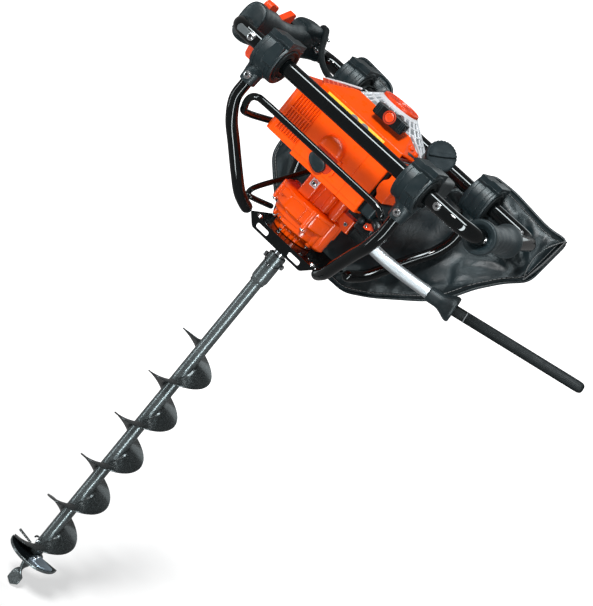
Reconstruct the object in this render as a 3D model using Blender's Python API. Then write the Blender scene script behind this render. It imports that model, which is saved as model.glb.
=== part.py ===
"""One-person petrol auger: engine and gearbox hung in a two-bar handle frame.

Units are metres, +Z is up and the auger turns about the Z axis. X runs along the handle bars and
-Y is the front. The origin is on the auger's axis at the height of the handle bars.
"""
import math

import bmesh
import bpy
from mathutils import Matrix, Vector

# Fits between touching pieces
GAP = 0.0003

# Auger
AUGER_R = 0.0445
AUGER_PITCH = 0.090
AUGER_TURNS = 5
FLIGHT_THICK = 0.0034
FLIGHT_TOP = -0.437
FLIGHT_TOP_ANGLE = math.radians(205)
TUBE_R = 0.0105
TUBE_WALL = 0.0025
TUBE_TOP = -0.3073
CUTTER_TOP = -0.8925
CUTTER_THICK = 0.0045
TIP_BOTTOM = -0.963

# Coupling and output shaft
COUPLER_R = 0.0142
COUPLER_TOP = -0.252
SHAFT_R = 0.010
SHAFT_TOP = -0.1735
SHAFT_BOTTOM = -0.285
PIN_R = 0.0028
PIN_Z = -0.2635

# Gears: two equal stages on one common centre distance
MODULE = 0.00125
PINION_TEETH = 12
WHEEL_TEETH = 36
PRESSURE_ANGLE = math.radians(20)
BACKLASH = 0.00016
CENTRE_DISTANCE = MODULE * (PINION_TEETH + WHEEL_TEETH) / 2

# Handle frame
BAR_R = 0.0125
BAR_WALL = 0.002
BAR_Y = 0.164
BAR_LEFT = -0.213
BAR_RIGHT = 0.256
BAR_BEND = 0.030
BAR_STUB = 0.003
LEG_R = 0.0095
LEG_WALL = 0.0018
ROD_R = 0.0055
COLLAR_X = 0.1455
COLLAR_LENGTH = 0.060
COLLAR_R = 0.033
NECK_X = 0.154
NECK_BOTTOM = -0.056

# Base plate
PLATE_TOP = -0.2145
PLATE_THICK = 0.003
PLATE_X = 0.010
PLATE_HALF_X = 0.0675
PLATE_FRONT = 0.065

# Engine
CYLINDER_Z = -0.057
SHROUD_BOTTOM = -0.104
COVER_R = 0.085
COVER_TOP = 0.0465
DISC_R = 0.032

# Pull starter: the rope leaves the cover through a guide
ROPE_GUIDE = Vector((0.024, -0.041, 0.036))
PULL_CENTRE = Vector((0.029, -0.0875, 0.0355))
PULL_WAY = (PULL_CENTRE - ROPE_GUIDE).normalized()

# Fuel cap
CAP_AXIS = Vector((0.35, -0.80, 0.50)).normalized()
CAP_CENTRE = Vector((0.119, -0.068, 0.0405))

# Brace arm, from the gearbox lug outwards
ARM_R = 0.0098
ARM_POINTS = [(0.0695, 0.0, -0.1415), (0.100, 0.009, -0.145), (0.135, 0.020, -0.147),
              (0.175, 0.031, -0.1455),
              (0.211, 0.040, -0.1427)]
GRIP_START = Vector((0.256, 0.0505, -0.1375))
GRIP_END = Vector((0.4814, 0.100, -0.1005))

# Right front leg, from its collar down to the base plate
LEG_POINTS = [(0.154, -0.164, -0.036), (0.154, -0.164, -0.058), (0.1535, -0.162, -0.085),
              (0.1415, -0.1525, -0.114),
              (0.1235, -0.134, -0.142), (0.102, -0.110, -0.176), (0.087, -0.090, -0.200),
              (0.0765, -0.074, -0.2115),
              (0.0710, -0.0655, -0.2160)]

# Hip cushion seen from the front, as (x, z) points
CUSHION_OUTLINE = [(-0.190, -0.150), (-0.190, 0.016), (-0.180, 0.034), (-0.106, 0.031), (-0.093, 0.014),
                   (-0.080, -0.016), (0.080, -0.016), (0.108, -0.006), (0.121, 0.033), (0.168, 0.035),
                   (0.243, 0.026), (0.280, 0.031), (0.274, -0.058), (0.247, -0.084),
                   (0.221, -0.120), (0.201, -0.160),
                   (0.176, -0.186), (0.114, -0.234), (0.075, -0.257), (0.030, -0.258), (-0.060, -0.244),
                   (-0.117, -0.228), (-0.140, -0.212), (-0.182, -0.180)]
CUSHION_THIN = 0.022
CUSHION_EXTRA = 0.016
CUSHION_MIDDLE = (0.045, -0.110)

# Handles
CONTROL_X = -0.2255
SIDE_GRIP_X = 0.256

ORANGE = (0.87, 0.10, 0.008)
CHARCOAL = (0.035, 0.042, 0.047)
GLOSS_BLACK = (0.012, 0.012, 0.013)
HAMMERED = (0.12, 0.13, 0.135)
STEEL = (0.56, 0.57, 0.58)
ALUMINIUM = (0.72, 0.73, 0.74)
WHITE = (0.80, 0.81, 0.82)
RUBBER = (0.02, 0.02, 0.022)

LOOKS = {
    "orange_plastic": (ORANGE, 0.38, 0.0),
    "orange_casting": (ORANGE, 0.32, 0.0),
    "charcoal_plastic": (CHARCOAL, 0.5, 0.0),
    "gloss_black": (GLOSS_BLACK, 0.14, 0.0),
    "hammered_grey": (HAMMERED, 0.38, 0.6),
    "steel": (STEEL, 0.3, 1.0),
    "aluminium": (ALUMINIUM, 0.35, 1.0),
    "rubber": (RUBBER, 0.75, 0.0),
    "white_plastic": (WHITE, 0.4, 0.0),
    "leatherette": (GLOSS_BLACK, 0.3, 0.0),
}


# ---------------------------------------------------------------- helpers

def clear_scene():
    for old in list(bpy.data.objects):
        bpy.data.objects.remove(old)


def look(name, node):
    colour, roughness, metallic = LOOKS[name]
    mat = bpy.data.materials.new(f"{node}_{name}")
    mat.use_nodes = True
    shader = mat.node_tree.nodes["Principled BSDF"]
    shader.inputs["Base Color"].default_value = (*colour, 1.0)
    shader.inputs["Roughness"].default_value = roughness
    shader.inputs["Metallic"].default_value = metallic
    return mat


def finish(bm, name, finish_name, pivot=(0, 0, 0)):
    """Turn a bmesh in world space into an object whose origin is its pivot."""
    bmesh.ops.translate(bm, verts=bm.verts, vec=-Vector(pivot))
    bmesh.ops.recalc_face_normals(bm, faces=bm.faces)
    mesh = bpy.data.meshes.new(name)
    bm.to_mesh(mesh)
    bm.free()
    mesh.shade_smooth()
    mesh.set_sharp_from_angle(angle=math.radians(35))
    mesh.materials.append(look(finish_name, name))
    obj = bpy.data.objects.new(name, mesh)
    obj.location = pivot
    bpy.context.collection.objects.link(obj)
    return obj


def combine(obj, bm, operation, name):
    """Cut a tool shape out of an object, or join one to it; the tool stays hidden."""
    tool = finish(bm, name, "steel")
    tool.hide_render = True
    tool.display_type = "WIRE"
    modifier = obj.modifiers.new(name, "BOOLEAN")
    modifier.operation = operation
    modifier.solver = "EXACT"
    modifier.object = tool
    return obj


def cut(obj, bm, name):
    return combine(obj, bm, "DIFFERENCE", f"cut_{name}")


def join(obj, bm, name):
    return combine(obj, bm, "UNION", f"join_{name}")


def new_box(low, high):
    bm = bmesh.new()
    bmesh.ops.create_cube(bm, size=1.0)
    size = Vector(high) - Vector(low)
    middle = (Vector(high) + Vector(low)) / 2
    bmesh.ops.scale(bm, vec=size, verts=bm.verts)
    bmesh.ops.translate(bm, vec=middle, verts=bm.verts)
    return bm


def rounded_box(low, high, radius, segments=2):
    bm = new_box(low, high)
    bmesh.ops.bevel(bm, geom=bm.edges, offset=radius, segments=segments, affect="EDGES", profile=0.5)
    return bm


def turned(profile, sides, centre=(0, 0, 0), ring=False, axis=(0, 0, 1)):
    """Turn (radius, height) points about an axis; a ring's profile closes on itself."""
    bm = bmesh.new()
    rows = []
    for radius, height in profile:
        if radius == 0:
            rows.append([bm.verts.new((0, 0, height))])
            continue
        row = []
        for step in range(sides):
            angle = 2 * math.pi * step / sides
            row.append(bm.verts.new((radius * math.cos(angle), radius * math.sin(angle), height)))
        rows.append(row)
    pairs = list(zip(rows, rows[1:]))
    if ring:
        pairs.append((rows[-1], rows[0]))
    for lower, upper in pairs:
        if len(lower) == 1 and len(upper) == 1:
            continue
        for step in range(sides):
            after = (step + 1) % sides
            corners = [lower[step % len(lower)], lower[after % len(lower)]]
            corners += [upper[after % len(upper)], upper[step % len(upper)]]
            bm.faces.new(list(dict.fromkeys(corners)))
    turn = Vector((0, 0, 1)).rotation_difference(Vector(axis)).to_matrix().to_4x4()
    bmesh.ops.transform(bm, matrix=Matrix.Translation(centre) @ turn, verts=bm.verts)
    return bm


def cylinder(radius, low, high, sides=24, centre=(0, 0), axis=(0, 0, 1), base=None):
    place = base if base is not None else (centre[0], centre[1], 0)
    return turned([(0, low), (radius, low), (radius, high), (0, high)], sides, place, axis=axis)


def prism(outline, low, high, plane="xy"):
    """Extrude a closed outline; plane xz runs along Y and plane yz along X."""
    bm = bmesh.new()
    place = {
        "xy": lambda a, b, c: (a, b, c),
        "xz": lambda a, b, c: (a, c, b),
        "yz": lambda a, b, c: (c, a, b),
    }[plane]
    near = [bm.verts.new(place(a, b, low)) for a, b in outline]
    far = [bm.verts.new(place(a, b, high)) for a, b in outline]
    bm.faces.new(near)
    bm.faces.new(far)
    for step in range(len(outline)):
        after = (step + 1) % len(outline)
        bm.faces.new([near[step], near[after], far[after], far[step]])
    return bm


def smooth_path(points, per_span=4):
    """Catmull-Rom curve through the given points."""
    points = [Vector(p) for p in points]
    ends = [2 * points[0] - points[1], *points, 2 * points[-1] - points[-2]]
    path = []
    for k in range(len(points) - 1):
        a, b, c, d = ends[k:k + 4]
        for step in range(per_span):
            t = step / per_span
            path.append(0.5 * (2 * b + (c - a) * t + (2 * a - 5 * b + 4 * c - d) * t ** 2
                               + (3 * b - a - 3 * c + d) * t ** 3))
    path.append(points[-1])
    return path


def swept(path, radius, bore=0.0, sides=12):
    """Sweep a round section along a path; a bore makes it a tube open at both ends."""
    bm = bmesh.new()
    tangents = []
    for k in range(len(path)):
        before = path[max(k - 1, 0)]
        after = path[min(k + 1, len(path) - 1)]
        tangents.append((after - before).normalized())
    side = tangents[0].orthogonal().normalized()
    outer = []
    inner = []
    for k, point in enumerate(path):
        if k:
            side = tangents[k - 1].rotation_difference(tangents[k]) @ side
        other = tangents[k].cross(side)
        spokes = [side * math.cos(2 * math.pi * s / sides) + other * math.sin(2 * math.pi * s / sides)
                  for s in range(sides)]
        outer.append([bm.verts.new(point + radius * spoke) for spoke in spokes])
        if bore:
            inner.append([bm.verts.new(point + bore * spoke) for spoke in spokes])
    for rows in (outer, inner):
        for near, far in zip(rows, rows[1:]):
            for s in range(sides):
                after = (s + 1) % sides
                bm.faces.new([near[s], near[after], far[after], far[s]])
    for end in (0, -1):
        if not bore:
            bm.faces.new(outer[end])
            continue
        for s in range(sides):
            after = (s + 1) % sides
            bm.faces.new([outer[end][s], outer[end][after], inner[end][after], inner[end][s]])
    return bm


def mirrored(points, flip_x=1, flip_y=1):
    return [(x * flip_x, y * flip_y, z) for x, y, z in points]


# ---------------------------------------------------------------- auger

def flight(name):
    """Right-handed helical strip round the auger tube."""
    bm = bmesh.new()
    steps_per_turn = 22
    inner = TUBE_R + GAP
    rows = []
    for step in range(AUGER_TURNS * steps_per_turn + 1):
        turn = step / steps_per_turn
        angle = FLIGHT_TOP_ANGLE - 2 * math.pi * turn
        height = FLIGHT_TOP - AUGER_PITCH * turn
        row = []
        for radius, drop in ((inner, 0), (AUGER_R, 0), (AUGER_R, 0.6), (inner, 1)):
            z = height - drop * FLIGHT_THICK
            row.append(bm.verts.new((radius * math.cos(angle), radius * math.sin(angle), z)))
        rows.append(row)
    for near, far in zip(rows, rows[1:]):
        for k in range(4):
            bm.faces.new([near[k], near[(k + 1) % 4], far[(k + 1) % 4], far[k]])
    bm.faces.new(rows[0])
    bm.faces.new(rows[-1])
    return finish(bm, name, "hammered_grey")


def cutter_plate(name):
    """Half disc below the flight, with a bore for the tip's shank."""
    steps = 18
    start = FLIGHT_TOP_ANGLE - math.radians(8)
    rim = []
    for step in range(steps + 1):
        angle = start + math.pi * step / steps
        rim.append((AUGER_R * 1.03 * math.cos(angle), AUGER_R * 1.03 * math.sin(angle)))
    back = math.radians(90)
    hub = []
    for step in range(7):
        angle = start + math.pi + back * (step - 3) / 3 + back
        hub.append((0.016 * math.cos(angle), 0.016 * math.sin(angle)))
    plate = finish(prism(rim + hub, CUTTER_TOP - CUTTER_THICK, CUTTER_TOP), name, "hammered_grey")
    return cut(plate, cylinder(0.0070, CUTTER_TOP - 0.02, CUTTER_TOP + 0.02, 16), "tip_hole")


def cutter_blade(name):
    """Hard steel blade on the cutter plate's right part."""
    outline = [(0.012, -0.006), (0.043, -0.006), (0.0435, -0.010), (0.038, -0.022), (0.028, -0.031),
               (0.012, -0.031)]
    low = CUTTER_TOP + GAP
    return finish(prism(outline, low, low + 0.003), name, "steel")


def auger_tip(name):
    """Twisted flat point under the cutter plate, with a round shank up the tube."""
    bm = bmesh.new()
    half_thick = 0.003
    sections = [(-0.9015, 0.0055, 0), (-0.910, 0.005, 25), (-0.918, 0.0062, 60), (-0.927, 0.0082, 85),
                (-0.937, 0.0105, 100), (-0.9565, 0.0108, 106)]
    rows = []
    for z, half_width, degrees in sections:
        along = Vector((math.cos(math.radians(degrees - 90)), math.sin(math.radians(degrees - 90)), 0))
        across = Vector((-along.y, along.x, 0))
        row = []
        for a, b in ((-1, -1), (1, -1), (1, 1), (-1, 1)):
            row.append(bm.verts.new(along * half_width * a + across * half_thick * b + Vector((0, 0, z))))
        rows.append(row)
    point = Vector((0.0, 0.0, TIP_BOTTOM))
    across = (rows[-1][3].co - rows[-1][0].co).normalized()
    tip = [bm.verts.new(point - across * 0.001), bm.verts.new(point + across * 0.001)]
    for near, far in zip(rows, rows[1:]):
        for k in range(4):
            bm.faces.new([near[k], near[(k + 1) % 4], far[(k + 1) % 4], far[k]])
    bm.faces.new(rows[0])
    last = rows[-1]
    bm.faces.new([last[0], last[1], tip[0]])
    bm.faces.new([last[2], last[3], tip[1]])
    bm.faces.new([last[1], last[2], tip[1], tip[0]])
    bm.faces.new([last[3], last[0], tip[0], tip[1]])
    obj = finish(bm, name, "hammered_grey")
    return join(obj, cylinder(0.0066, -0.9035, -0.878, 14), "tip_shank")


def coupler(name):
    bottom = TUBE_TOP + GAP
    profile = [(0, SHAFT_BOTTOM - 0.001), (SHAFT_R + GAP, SHAFT_BOTTOM - 0.001),
               (SHAFT_R + GAP, COUPLER_TOP),
               (COUPLER_R - 0.001, COUPLER_TOP), (COUPLER_R, COUPLER_TOP - 0.001),
               (COUPLER_R, bottom + 0.005), (TUBE_R + 0.001, bottom), (0, bottom)]
    obj = finish(turned(profile, 24), name, "hammered_grey")
    return cut(obj, pin_bore(), "coupler_pin")


def pin_bore():
    return cylinder(PIN_R + GAP, -0.03, 0.03, 12, axis=(1, 0, 0), base=(0, 0, PIN_Z))


def coupling_pin(name):
    """Cross pin with a head at its right end; it pulls out to the right."""
    profile = [(0, -0.0165), (PIN_R, -0.0165), (PIN_R, COUPLER_R + GAP), (0.0042, COUPLER_R + GAP),
               (0.0042, 0.019), (0, 0.019)]
    return finish(turned(profile, 12, (0, 0, PIN_Z), axis=(1, 0, 0)), name, "steel", (0, 0, PIN_Z))


def build_auger():
    flight("auger_flight")
    tube = [(TUBE_R - TUBE_WALL, TUBE_TOP), (TUBE_R, TUBE_TOP), (TUBE_R, -0.892),
            (TUBE_R - TUBE_WALL, -0.892)]
    finish(turned(tube, 20, ring=True), "auger_tube", "hammered_grey")
    cutter_plate("cutter_plate")
    cutter_blade("cutter_blade")
    auger_tip("auger_tip")
    coupler("coupling_sleeve")
    coupling_pin("coupling_pin")
    shaft = finish(cylinder(SHAFT_R, SHAFT_BOTTOM, SHAFT_TOP, 20), "output_shaft", "steel")
    cut(shaft, pin_bore(), "shaft_pin")


# ---------------------------------------------------------------- gear train

def gear_outline(teeth, phase, centre):
    """Stub involute teeth: every flank point's half angle follows from the pitch point's."""
    pitch_r = MODULE * teeth / 2
    base_r = pitch_r * math.cos(PRESSURE_ANGLE)
    root_r = pitch_r - 1.1 * MODULE
    tip_r = pitch_r + 0.78 * MODULE
    at_pitch = math.pi / (2 * teeth) - BACKLASH / (2 * pitch_r)
    involute = math.tan(PRESSURE_ANGLE) - PRESSURE_ANGLE
    flank = []
    for radius in (root_r, tip_r):
        roll = math.acos(min(base_r / radius, 1))
        flank.append((radius, at_pitch + involute - (math.tan(roll) - roll)))
    outline = []
    for tooth in range(teeth):
        middle = phase + 2 * math.pi * tooth / teeth
        for radius, half in flank:
            outline.append((radius, middle - half))
        for radius, half in reversed(flank):
            outline.append((radius, middle + half))
    return [(centre[0] + r * math.cos(a), centre[1] + r * math.sin(a)) for r, a in outline]


def build_gears():
    lay = (-CENTRE_DISTANCE, 0)
    half_tooth = math.pi / PINION_TEETH
    wheel = prism(gear_outline(WHEEL_TEETH, 0, (0, 0)), -0.1850, -0.1745)
    output = finish(wheel, "output_gear", "steel")
    cut(output, cylinder(SHAFT_R + GAP, -0.20, -0.16, 20), "output_gear_bore")
    lay_wheel = prism(gear_outline(WHEEL_TEETH, 0, lay), -0.1640, -0.1560)
    layshaft = finish(lay_wheel, "layshaft_gear", "steel", (*lay, 0))
    join(layshaft, prism(gear_outline(PINION_TEETH, half_tooth, lay), -0.1860, -0.1635), "layshaft_pinion")
    join(layshaft, cylinder(0.0040, -0.1885, -0.1535, 12, lay), "layshaft_axle")
    cup = [(0, -0.1665), (0.006, -0.1665), (0.006, -0.1280), (0.026, -0.1280), (0.026, -0.100),
           (0.0225, -0.100), (0.0225, -0.1245), (0, -0.1245)]
    drum = finish(turned(cup, 18), "clutch_drum", "steel")
    join(drum, prism(gear_outline(PINION_TEETH, half_tooth, (0, 0)), -0.1650, -0.1545), "drum_pinion")
    ring = [(0.0102, -0.2105), (0.0188, -0.2105), (0.0188, -0.1985), (0.0102, -0.1985)]
    finish(turned(ring, 20, ring=True), "output_bearing", "steel")


def build_gearbox():
    upper = [(0.0075, -0.1482), (0.042, -0.1482), (0.042, -0.0985), (0.036, -0.0985), (0.036, -0.1440),
             (0.0075, -0.1440)]
    housing = finish(turned(upper, 22, ring=True), "clutch_housing", "orange_casting")
    join(housing, new_box((0.038, -0.013, -0.1480), (0.066, 0.013, -0.1300)), "arm_lug")
    join(housing, new_box((-0.028, -0.0445, -0.1480), (-0.006, -0.036, -0.1100)), "screw_pad")
    middle = [(0.0505, -0.1900), (0.057, -0.1900), (0.058, -0.1880), (0.058, -0.1590), (0.052, -0.1570),
              (0.052, -0.1485), (0, -0.1485), (0, -0.1525), (0.0505, -0.1525)]
    case = finish(turned(middle, 22, (-0.006, 0, 0), ring=True), "gear_case", "orange_casting")
    cut(case, cylinder(0.0085, -0.16, -0.14, 16), "case_bore")
    lower = [(0, -0.2142), (0.030, -0.2142), (0.030, -0.2030), (0.051, -0.2010), (0.0515, -0.1903),
             (0, -0.1903)]
    cover = finish(turned(lower, 22, (-0.003, 0, 0)), "gear_cover", "orange_casting")
    cut(cover, cylinder(0.0191, -0.2110, -0.17, 20), "bearing_pocket")
    cut(cover, cylinder(0.0125, -0.23, -0.20, 16), "cover_bore")


# ---------------------------------------------------------------- engine

def build_crank():
    """Crankshaft with its clutch shoes at the lower end, and the flywheel at the top."""
    lower = [(0, -0.1130), (0.0205, -0.1130), (0.0205, -0.1020), (0.006, -0.1010), (0.006, -0.073),
             (0.020, -0.073),
             (0.020, -0.066), (0, -0.066)]
    crank = finish(turned(lower, 16), "crankshaft", "steel")
    join(crank, cylinder(0.0045, -0.070, -0.048, 12, (0, 0.012)), "crank_pin")
    upper = [(0, -0.052), (0.020, -0.052), (0.020, -0.045), (0.006, -0.045), (0.006, 0.0165), (0, 0.0165)]
    join(crank, turned(upper, 16), "crank_top")
    rim = [(0.0063, 0.0), (0.058, 0.0), (0.058, 0.010), (0.050, 0.0125), (0.044, 0.006), (0.016, 0.006),
           (0.012, 0.014), (0.0063, 0.014)]
    finish(turned(rim, 22, ring=True), "flywheel", "aluminium")


def build_engine_block():
    case = [(0, -0.0980), (0.034, -0.0980), (0.034, -0.0360), (0, -0.0360)]
    block = finish(turned(case, 18), "engine_block", "aluminium")
    fins = [(0, 0.026), (0.023, 0.026)]
    for fin in range(3):
        start = 0.040 + 0.012 * fin
        fins += [(0.023, start), (0.031, start), (0.031, start + 0.005), (0.023, start + 0.005)]
    fins += [(0.023, 0.080), (0, 0.080)]
    front = (0, 0, CYLINDER_Z)
    join(block, turned(fins, 14, front, axis=(0, -1, 0)), "barrel")
    cut(block, cylinder(0.027, -0.0900, -0.0430, 18), "crank_chamber")
    cut(block, cylinder(0.0172, 0.020, 0.0740, 14, axis=(0, -1, 0), base=front), "cylinder_bore")
    cut(block, cylinder(0.0075, -0.12, -0.02, 14), "main_bearings")
    cut(block, cylinder(0.0053, 0.07, 0.09, 12, axis=(0, -1, 0), base=front), "plug_hole")
    piston = [(0.013, 0.044), (0.0166, 0.044), (0.0166, 0.066), (0, 0.068), (0, 0.062), (0.013, 0.060)]
    finish(turned(piston, 14, front, ring=True, axis=(0, -1, 0)), "piston", "aluminium")
    plug = [(0, 0.071), (0.0050, 0.071), (0.0050, 0.0803), (0.0085, 0.0803), (0.0085, 0.085),
            (0.004, 0.085),
            (0.004, 0.0905), (0, 0.0905)]
    finish(turned(plug, 12, front, axis=(0, -1, 0)), "spark_plug", "steel")


def build_shroud():
    outer = [(-0.058, -0.094), (0.076, -0.094), (0.078, -0.088), (0.078, 0.078), (0.062, 0.088),
             (-0.050, 0.088),
             (-0.058, 0.078)]
    inner = [(-0.055, -0.091), (0.0735, -0.091), (0.075, -0.087), (0.075, 0.077), (0.061, 0.085),
             (-0.049, 0.085),
             (-0.055, 0.077)]
    shroud = finish(prism(outer, SHROUD_BOTTOM, 0.0), "engine_shroud", "orange_plastic")
    boss = [(0, -0.001), (0.0195, -0.001), (0.0165, 0.009), (0.010, 0.0125), (0, 0.0135)]
    join(shroud, turned(boss, 20, (-0.010, -0.094, -0.0545), axis=(0, -1, 0)), "front_boss")
    cut(shroud, prism(inner, SHROUD_BOTTOM - 0.01, 0.01), "shroud_inside")
    finish(apron(), "front_apron", "orange_plastic")
    muffler_side = hollow_side("muffler_cover", "orange_plastic", -0.118, -0.0583, 0.058, 0.012)
    cut(muffler_side, new_box((-0.121, -0.050, -0.072), (-0.110, 0.020, -0.060)), "exhaust_slot")
    hollow_side("filter_cover", "orange_plastic", 0.103, 0.0783, 0.050, 0.008)
    finish(rounded_box((-0.104, -0.062, -0.086), (-0.064, 0.040, -0.020), 0.008), "muffler", "steel")
    oval = []
    for step in range(16):
        angle = 2 * math.pi * step / 16
        oval.append((0.0145 * math.cos(angle) - 0.015, 0.0122 * math.sin(angle) - 0.0875))
    finish(prism(oval, -0.1015, -0.0943, "xz"), "plug_cover", "charcoal_plastic")


def hollow_side(name, finish_name, far, near, back, chamfer):
    """Side cover: a box with chamfered outer corners, open towards the engine."""
    toward = 1 if near > far else -1
    wall = 0.003 * toward
    outer = [(far, -0.092 + chamfer), (far + chamfer * toward, -0.092), (near, -0.092), (near, back),
             (far + chamfer * toward, back), (far, back - chamfer)]
    inner = [(far + wall, -0.089 + chamfer), (far + chamfer * toward + wall, -0.089),
             (near + wall, -0.089), (near + wall, back - 0.003),
             (far + chamfer * toward + wall, back - 0.003),
             (far + wall, back - 0.003 - chamfer)]
    obj = finish(prism(outer, -0.099, -0.001), name, finish_name)
    return cut(obj, prism(inner, -0.096, -0.004), f"{name}_inside")


def apron():
    """Faceted front shield that leans back over the starter cover."""
    bm = bmesh.new()
    corners = [(-0.116, -0.030, 0.0025), (-0.085, -0.094, 0.0030), (0.080, -0.094, 0.0030),
               (0.104, -0.045, 0.0040),
               (-0.045, -0.062, 0.0320), (0.062, -0.062, 0.0310)]
    outer = [bm.verts.new(c) for c in corners]
    thickness = Vector((0.0, 0.0022, -0.0026))
    inner = [bm.verts.new(Vector(c) + thickness) for c in corners]
    facets = [(0, 1, 4), (1, 2, 5, 4), (2, 3, 5)]
    for facet in facets:
        bm.faces.new([outer[k] for k in facet])
        bm.faces.new([inner[k] for k in reversed(facet)])
    rim = (0, 1, 2, 3, 5, 4)
    for k, corner in enumerate(rim):
        after = rim[(k + 1) % len(rim)]
        bm.faces.new([outer[corner], outer[after], inner[after], inner[corner]])
    return bm


def build_starter():
    """White cover with its top disc and centre post, recoil pulley and pull handle with its rope end."""
    low = 0.0020
    wall = 0.0025
    disc_top = COVER_TOP + 0.0045
    shell = [(0, disc_top), (DISC_R - 0.002, disc_top - 0.001), (DISC_R - 0.001, COVER_TOP),
             (DISC_R, COVER_TOP),
             (COVER_R, low + 0.004), (COVER_R, low), (COVER_R - wall, low),
             (COVER_R - wall, low + 0.003), (DISC_R - 0.002, COVER_TOP - wall), (0.0038, COVER_TOP - wall),
             (0.0038, 0.0225), (0, 0.0225)]
    cover = finish(turned(shell, 18), "starter_cover", "white_plastic")
    guide = ROPE_GUIDE
    way = PULL_WAY
    join(cover, cylinder(0.0060, -0.006, 0.010, 12, axis=way, base=guide), "rope_guide")
    cut(cover, cylinder(0.0028, -0.03, 0.03, 10, axis=way, base=guide), "rope_hole")
    pulley = [(0.0042, 0.0235), (0.025, 0.0235), (0.025, 0.0255), (0.021, 0.0270), (0.025, 0.0290),
              (0.025, 0.0305), (0.0042, 0.0305)]
    finish(turned(pulley, 16, ring=True), "starter_pulley", "charcoal_plastic")
    centre = PULL_CENTRE
    bar = rounded_box((-0.029, -0.0065, -0.0098), (0.029, 0.0065, 0.0098), 0.003, 1)
    bmesh.ops.translate(bar, vec=centre, verts=bar.verts)
    handle = finish(bar, "pull_handle", "charcoal_plastic", centre)
    join(handle, swept([centre, guide + way * 0.001], 0.0020, sides=8), "rope_end")


def build_fuel():
    body = rounded_box((0.106, -0.100, -0.046), (0.144, 0.030, 0.014), 0.006, 1)
    tank = finish(body, "fuel_tank", "charcoal_plastic")
    join(tank, cylinder(0.0175, -0.042, -0.0070, 20, axis=CAP_AXIS, base=CAP_CENTRE), "filler_neck")
    cap = [(0, -0.0065), (0.0225, -0.0065), (0.0240, -0.0050), (0.0240, 0.0035), (0.0225, 0.0050),
           (0, 0.0050)]
    lid = finish(turned(cap, 22, CAP_CENTRE, axis=CAP_AXIS), "fuel_cap", "charcoal_plastic", CAP_CENTRE)
    ridge = new_box((-0.0205, -0.0022, 0.004), (0.0205, 0.0022, 0.0085))
    turn = Vector((0, 0, 1)).rotation_difference(CAP_AXIS).to_matrix().to_4x4()
    spin = Matrix.Rotation(math.radians(-62), 4, "Z")
    bmesh.ops.transform(ridge, matrix=Matrix.Translation(CAP_CENTRE) @ turn @ spin, verts=ridge.verts)
    join(lid, ridge, "cap_ridge")


def build_carburettor():
    block = rounded_box((0.0790, -0.060, -0.128), (0.110, 0.020, -0.1005), 0.004, 1)
    body = finish(block, "carburettor", "charcoal_plastic")
    cut(body, cylinder(0.0068, 0.054, 0.07, 14, axis=(0, -1, 0), base=(0.086, 0, -0.110)), "bulb_pocket")
    pivot = (0.098, -0.0625, -0.112)
    lever = [(0.095, -0.116), (0.101, -0.116), (0.118, -0.106), (0.120, -0.100), (0.115, -0.100),
             (0.095, -0.108)]
    finish(prism(lever, -0.0648, -0.0604, "xz"), "choke_lever", "orange_plastic", pivot)
    bulb = [(0, 0.0605), (0.006, 0.0605), (0.0058, 0.064), (0.004, 0.067), (0, 0.068)]
    finish(turned(bulb, 14, (0.086, 0, -0.110), axis=(0, -1, 0)), "primer_bulb", "rubber",
           (0.086, -0.0605, -0.110))


# ---------------------------------------------------------------- handle frame

def bar_path(side):
    """One bar with both ends bent a quarter turn; the rear bar runs on through the right grip."""
    straight_left = BAR_LEFT + BAR_BEND
    straight_right = BAR_RIGHT - BAR_BEND
    path = [(BAR_LEFT, BAR_Y - BAR_BEND - BAR_STUB)]
    for step in range(5):
        angle = math.radians(90) * (1 - step / 4)
        path.append((straight_left - BAR_BEND * math.sin(angle),
                     BAR_Y - BAR_BEND + BAR_BEND * math.cos(angle)))
    path.append((0.0, BAR_Y))
    for step in range(5):
        angle = math.radians(90) * step / 4
        path.append((straight_right + BAR_BEND * math.sin(angle),
                     BAR_Y - BAR_BEND + BAR_BEND * math.cos(angle)))
    stub_end = BAR_Y - BAR_BEND - BAR_STUB
    path.append((BAR_RIGHT, GAP - stub_end if side > 0 else stub_end))
    return [Vector((x, y * side, 0.0)) for x, y in path]


def leg_path(flip_x, flip_y):
    """A leg's foot is carried over to the base plate's own centre line."""
    points = []
    for x, y, z in mirrored(LEG_POINTS, flip_x, flip_y):
        share = min(max((-0.085 - z) / 0.115, 0.0), 1.0)
        points.append((x + (PLATE_X + 0.0065 * flip_x) * share, y, z))
    return [Vector(p) for p in points]


def collar(name, flip_x, flip_y):
    """Round housing on a bar, with a flat clamp on top and a neck for the leg below."""
    inner = 0.0293
    half = COLLAR_LENGTH / 2
    profile = [(inner, -half), (COLLAR_R - 0.002, -half), (COLLAR_R, 0.002 - half),
               (COLLAR_R, half - 0.002),
               (COLLAR_R - 0.002, half), (inner, half)]
    place = (COLLAR_X * flip_x, BAR_Y * flip_y, 0)
    obj = finish(turned(profile, 16, place, ring=True, axis=(1, 0, 0)), name, "charcoal_plastic")
    middle = NECK_X * flip_x
    y = BAR_Y * flip_y
    clamp = new_box((place[0] - 0.021, y - 0.020, 0.0295), (place[0] + 0.024, y + 0.020, 0.0375))
    join(obj, clamp, f"{name}_clamp")
    join(obj, cylinder(0.0135, NECK_BOTTOM, -0.0305, 12, (middle, y)), f"{name}_neck")
    return cut(obj, cylinder(LEG_R + 2 * GAP, NECK_BOTTOM - 0.01, -0.0352, 12, (middle, y)),
               f"{name}_socket")


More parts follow.
